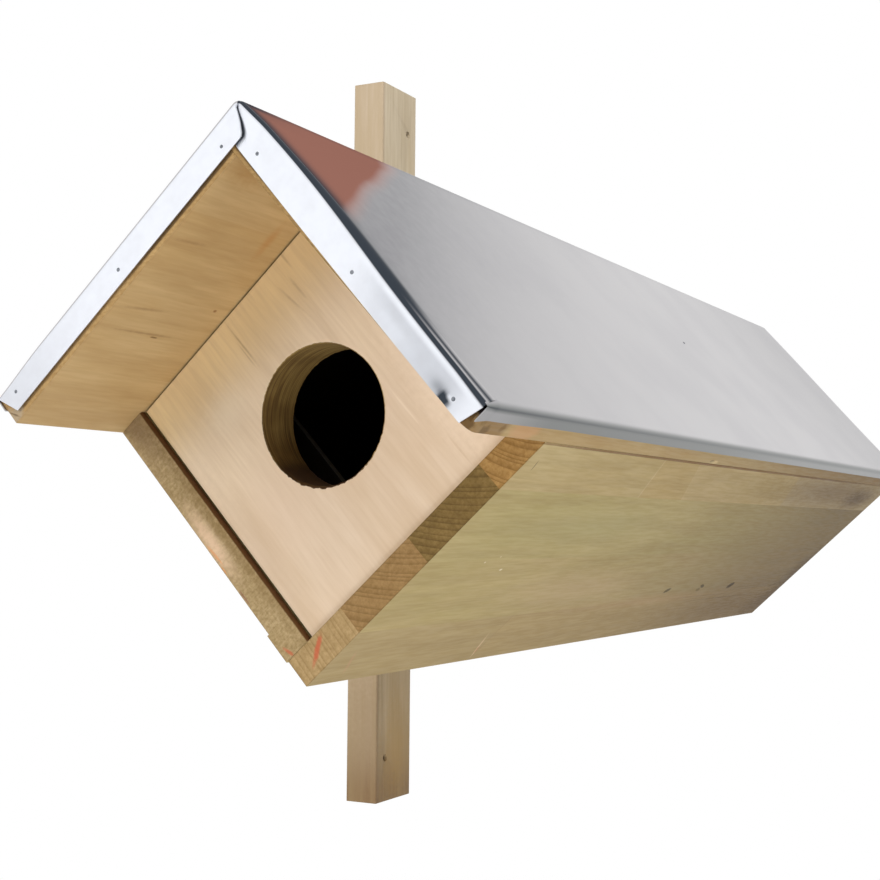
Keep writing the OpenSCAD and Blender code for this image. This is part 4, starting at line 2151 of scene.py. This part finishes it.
def left_roof() -> StaveBoard:
    """The left roof board, whose underside shows inside the porch."""
    under = replace(
        ROOF,
        marks=face_marks(
            (155, 9),
            ((50, -43), (1.2, 34), STREAK, 0.5, -1, 1.0),
            ((64, -57), (1.5, 23), STREAK, 0.4, -4, 1.0),
            ((106, -62), (1.5, 18), STREAK, 0.35, -2, 1.0),
            ((48.5, -35.1), (0.8, 3.4), (104, 72, 34), 0.7),
            ((71.3, -8.1), (1.2, 1.8), (128, 78, 34), 0.7),
            ((118, -12), (16, 5), (186, 136, 76), 0.6, 0, 1.0),
            # painted shade: darker near the ridge
            ((150, -60), (14, 26), (176, 134, 76), 0.6, 0, 1.0),
        ),
    )
    lines = end_marks(
        (-78, 9),
        # painted shade: a dark line under the left lip's inner edge, fainter towards the eave
        ((140, 158.2), (90, 1.5), LIP_EDGE_SHADE, 0.8, 0, 0.5, 0.1),
        ((10, 158.2), (70, 1.4), (96, 72, 40), 0.6, 0, 0.5, 0.1),
        ((-13.5, 158), (6, 6), (168, 150, 124), 0.8, 0, 0.5, 1.2),
        ((-14, 159), (0.6, 5), (104, 84, 58), 0.8, -30, 0.6, 0.8),
    )
    end = replace(ROOF_END, pale=(174, 142, 94), dark=(130, 96, 52), marks=lines)
    looks = stave_looks(under, end, "left_roof", ({},) * 4)
    rounded = (
        Rounding(EVERY_STAVE, Side.V_HIGH, Side.Y_LOW, 1.5 * MM),
        Rounding(EVERY_STAVE, Side.V_HIGH, Side.Y_HIGH, 1.5 * MM),
        Rounding((1,), Side.V_HIGH, Side.U_LOW, 2.6 * MM),
    )
    return StaveBoard("left_roof_stave", "roof_wood", looks, Side.U_LOW, Side.U_HIGH, rounded)


# ---------------------------------------------------------------- studio


@dataclass(frozen=True)
class Lamp:
    """A square soft lamp: where it stands, what it faces, its side and its power in watts."""

    name: str
    place: Vector
    target: Vector
    size: float
    power: float

    def build(self) -> None:
        """Adds the lamp to the scene; gloss doesn't show its outline."""
        light = bpy.data.lights.new(self.name, "AREA")
        light.size = self.size
        light.energy = self.power
        holder = link(self.name, light)
        holder.visible_glossy = False
        holder.location = self.place
        holder.rotation_euler = (self.target - self.place).to_track_quat("-Z", "Y").to_euler()


@dataclass
class Studio:
    """Pale floor, soft lamps, white surroundings and the camera."""

    floor_drop: float = 0.75
    floor_radius: float = 3.2
    floor_clear: Pair = (0.45, 0.98)
    floor_glow: float = 0.36
    fill: float = 0.24
    key_power: float = 35.0
    side_power: float = 4.8
    top_power: float = 34.0
    camera_place: Triple = (0.5504, -0.9329, -0.0606)
    yaw: float = 27.79
    pitch: float = 3.24
    roll: float = 0.50
    lens: float = 61.77
    sensor: float = 36.0
    view_range: Pair = (0.02, 50.0)

    def build(self) -> None:
        """Sets up everything round the object."""
        low, high = CAD_BOX
        middle = (low + high) / 2
        key, side = middle + Vector((-1.15, -1.75, 0.85)), Vector((0.75, -1.05, -0.75))
        lamps = (
            Lamp("key_lamp", key, middle, 1.7, self.key_power),
            Lamp("side_lamp", side, Vector((0.1, -0.2, -0.05)), 0.6, self.side_power),
            Lamp("top_lamp", Vector((1.7, -0.9, 1.3)), middle, 1.2, self.top_power),
        )
        self.build_world()
        self.build_floor(Vector((middle.x, middle.y, low.z - self.floor_drop)))
        for lamp in lamps:
            lamp.build()
        self.build_camera()
        bpy.context.scene.view_settings.view_transform = "Standard"
        log.info("studio: floor, %d lamps, world and camera", len(lamps))

    def build_world(self) -> None:
        """White where the camera, gloss or glass sees it, and a plain soft fill otherwise."""
        world = bpy.data.worlds.new("studio_world")
        world.use_nodes = True
        world.node_tree.nodes.clear()
        g = Graph(world.node_tree)
        strength = g.ramp(g.seen(), 0.0, 1.0, self.fill, 1.0)
        light = g.add("ShaderNodeBackground", {"Color": WHITE, "Strength": strength})
        g.add("ShaderNodeOutputWorld", {"Surface": light.outputs[0]})
        bpy.context.scene.world = world

    def build_floor(self, middle: Vector) -> None:
        """A round pale floor that fades out into the white round it.

        Args:
            middle: The floor's middle.
        """
        shape = bmesh.new()
        bmesh.ops.create_circle(shape, cap_ends=True, segments=96, radius=self.floor_radius)
        mesh = to_mesh(shape, Matrix.Translation(middle))
        g = Coat("pale_floor")
        away = g.vector("LENGTH", g.vector("SUBTRACT", g.place, tuple(middle)))
        body = g.add("ShaderNodeBsdfDiffuse", {"Color": (0.8, 0.8, 0.8, 1.0)}).outputs[0]
        strength = g.math("MULTIPLY", g.seen(), self.floor_glow)
        glow = g.add("ShaderNodeEmission", {"Strength": strength}).outputs[0]
        both = g.add("ShaderNodeAddShader", {0: body, 1: glow}).outputs[0]
        clear = g.add("ShaderNodeBsdfTransparent").outputs[0]
        fade = g.ramp(away, *(self.floor_radius * share for share in self.floor_clear))
        mixed = g.add("ShaderNodeMixShader", {0: fade, 1: both, 2: clear}).outputs[0]
        g.add("ShaderNodeOutputMaterial", {"Surface": mixed})
        mesh.materials.append(g.material)
        link("floor", mesh)

    def build_camera(self) -> None:
        """Sets the camera, given by its place, yaw, pitch and roll."""
        yaw, pitch, roll = (math.radians(a) for a in (self.yaw, self.pitch, self.roll))
        level = Vector((-math.sin(yaw), math.cos(yaw), 0.0))
        right = Vector((math.cos(yaw), math.sin(yaw), 0.0))
        up = Vector((0.0, 0.0, 1.0))
        ahead = level * math.cos(pitch) + up * math.sin(pitch)
        above = up * math.cos(pitch) - level * math.sin(pitch)
        side = right * math.cos(roll) + above * math.sin(roll)
        top = above * math.cos(roll) - right * math.sin(roll)
        data = bpy.data.cameras.new("camera")
        data.lens = self.lens
        data.sensor_width = self.sensor
        data.clip_start, data.clip_end = self.view_range
        camera = link("camera", data)
        matrix = Matrix((side, top, -ahead)).transposed().to_4x4()
        matrix.translation = Vector(self.camera_place)
        camera.matrix_world = matrix
        bpy.context.scene.camera = camera


# ---------------------------------------------------------------- build order


def main() -> None:
    """Builds the owl nest box and its studio, in order."""
    section = Section.from_frame()
    effects = Effects()
    turn, side = math.degrees(section.turn), section.side / MM
    log.info("section: turn %.2f degrees, side %.1f mm", turn, side)
    for board in (right_wall(), left_wall(), right_roof(), left_roof()):
        board.build(section, effects)
    FrontPanel(PANEL, PANEL_EDGE).build(section, effects)
    # painted highlight: inside the box, the far panel's and the baffle's edges are painted pale
    # grey rather than near black, where the baffle's edge catches light through the entrance
    PlainBoards(PANEL, replace(PANEL_EDGE, inside=(140, 138, 130))).build(section, effects)
    Batten(BATTEN, replace(BATTEN, name="batten_end", ring_show=0.6)).build(effects)
    sheet = RoofSheet()
    sheet.build(section)
    Nails().build(section, sheet)
    Studio().build()


if __name__ == "__main__":
    main()
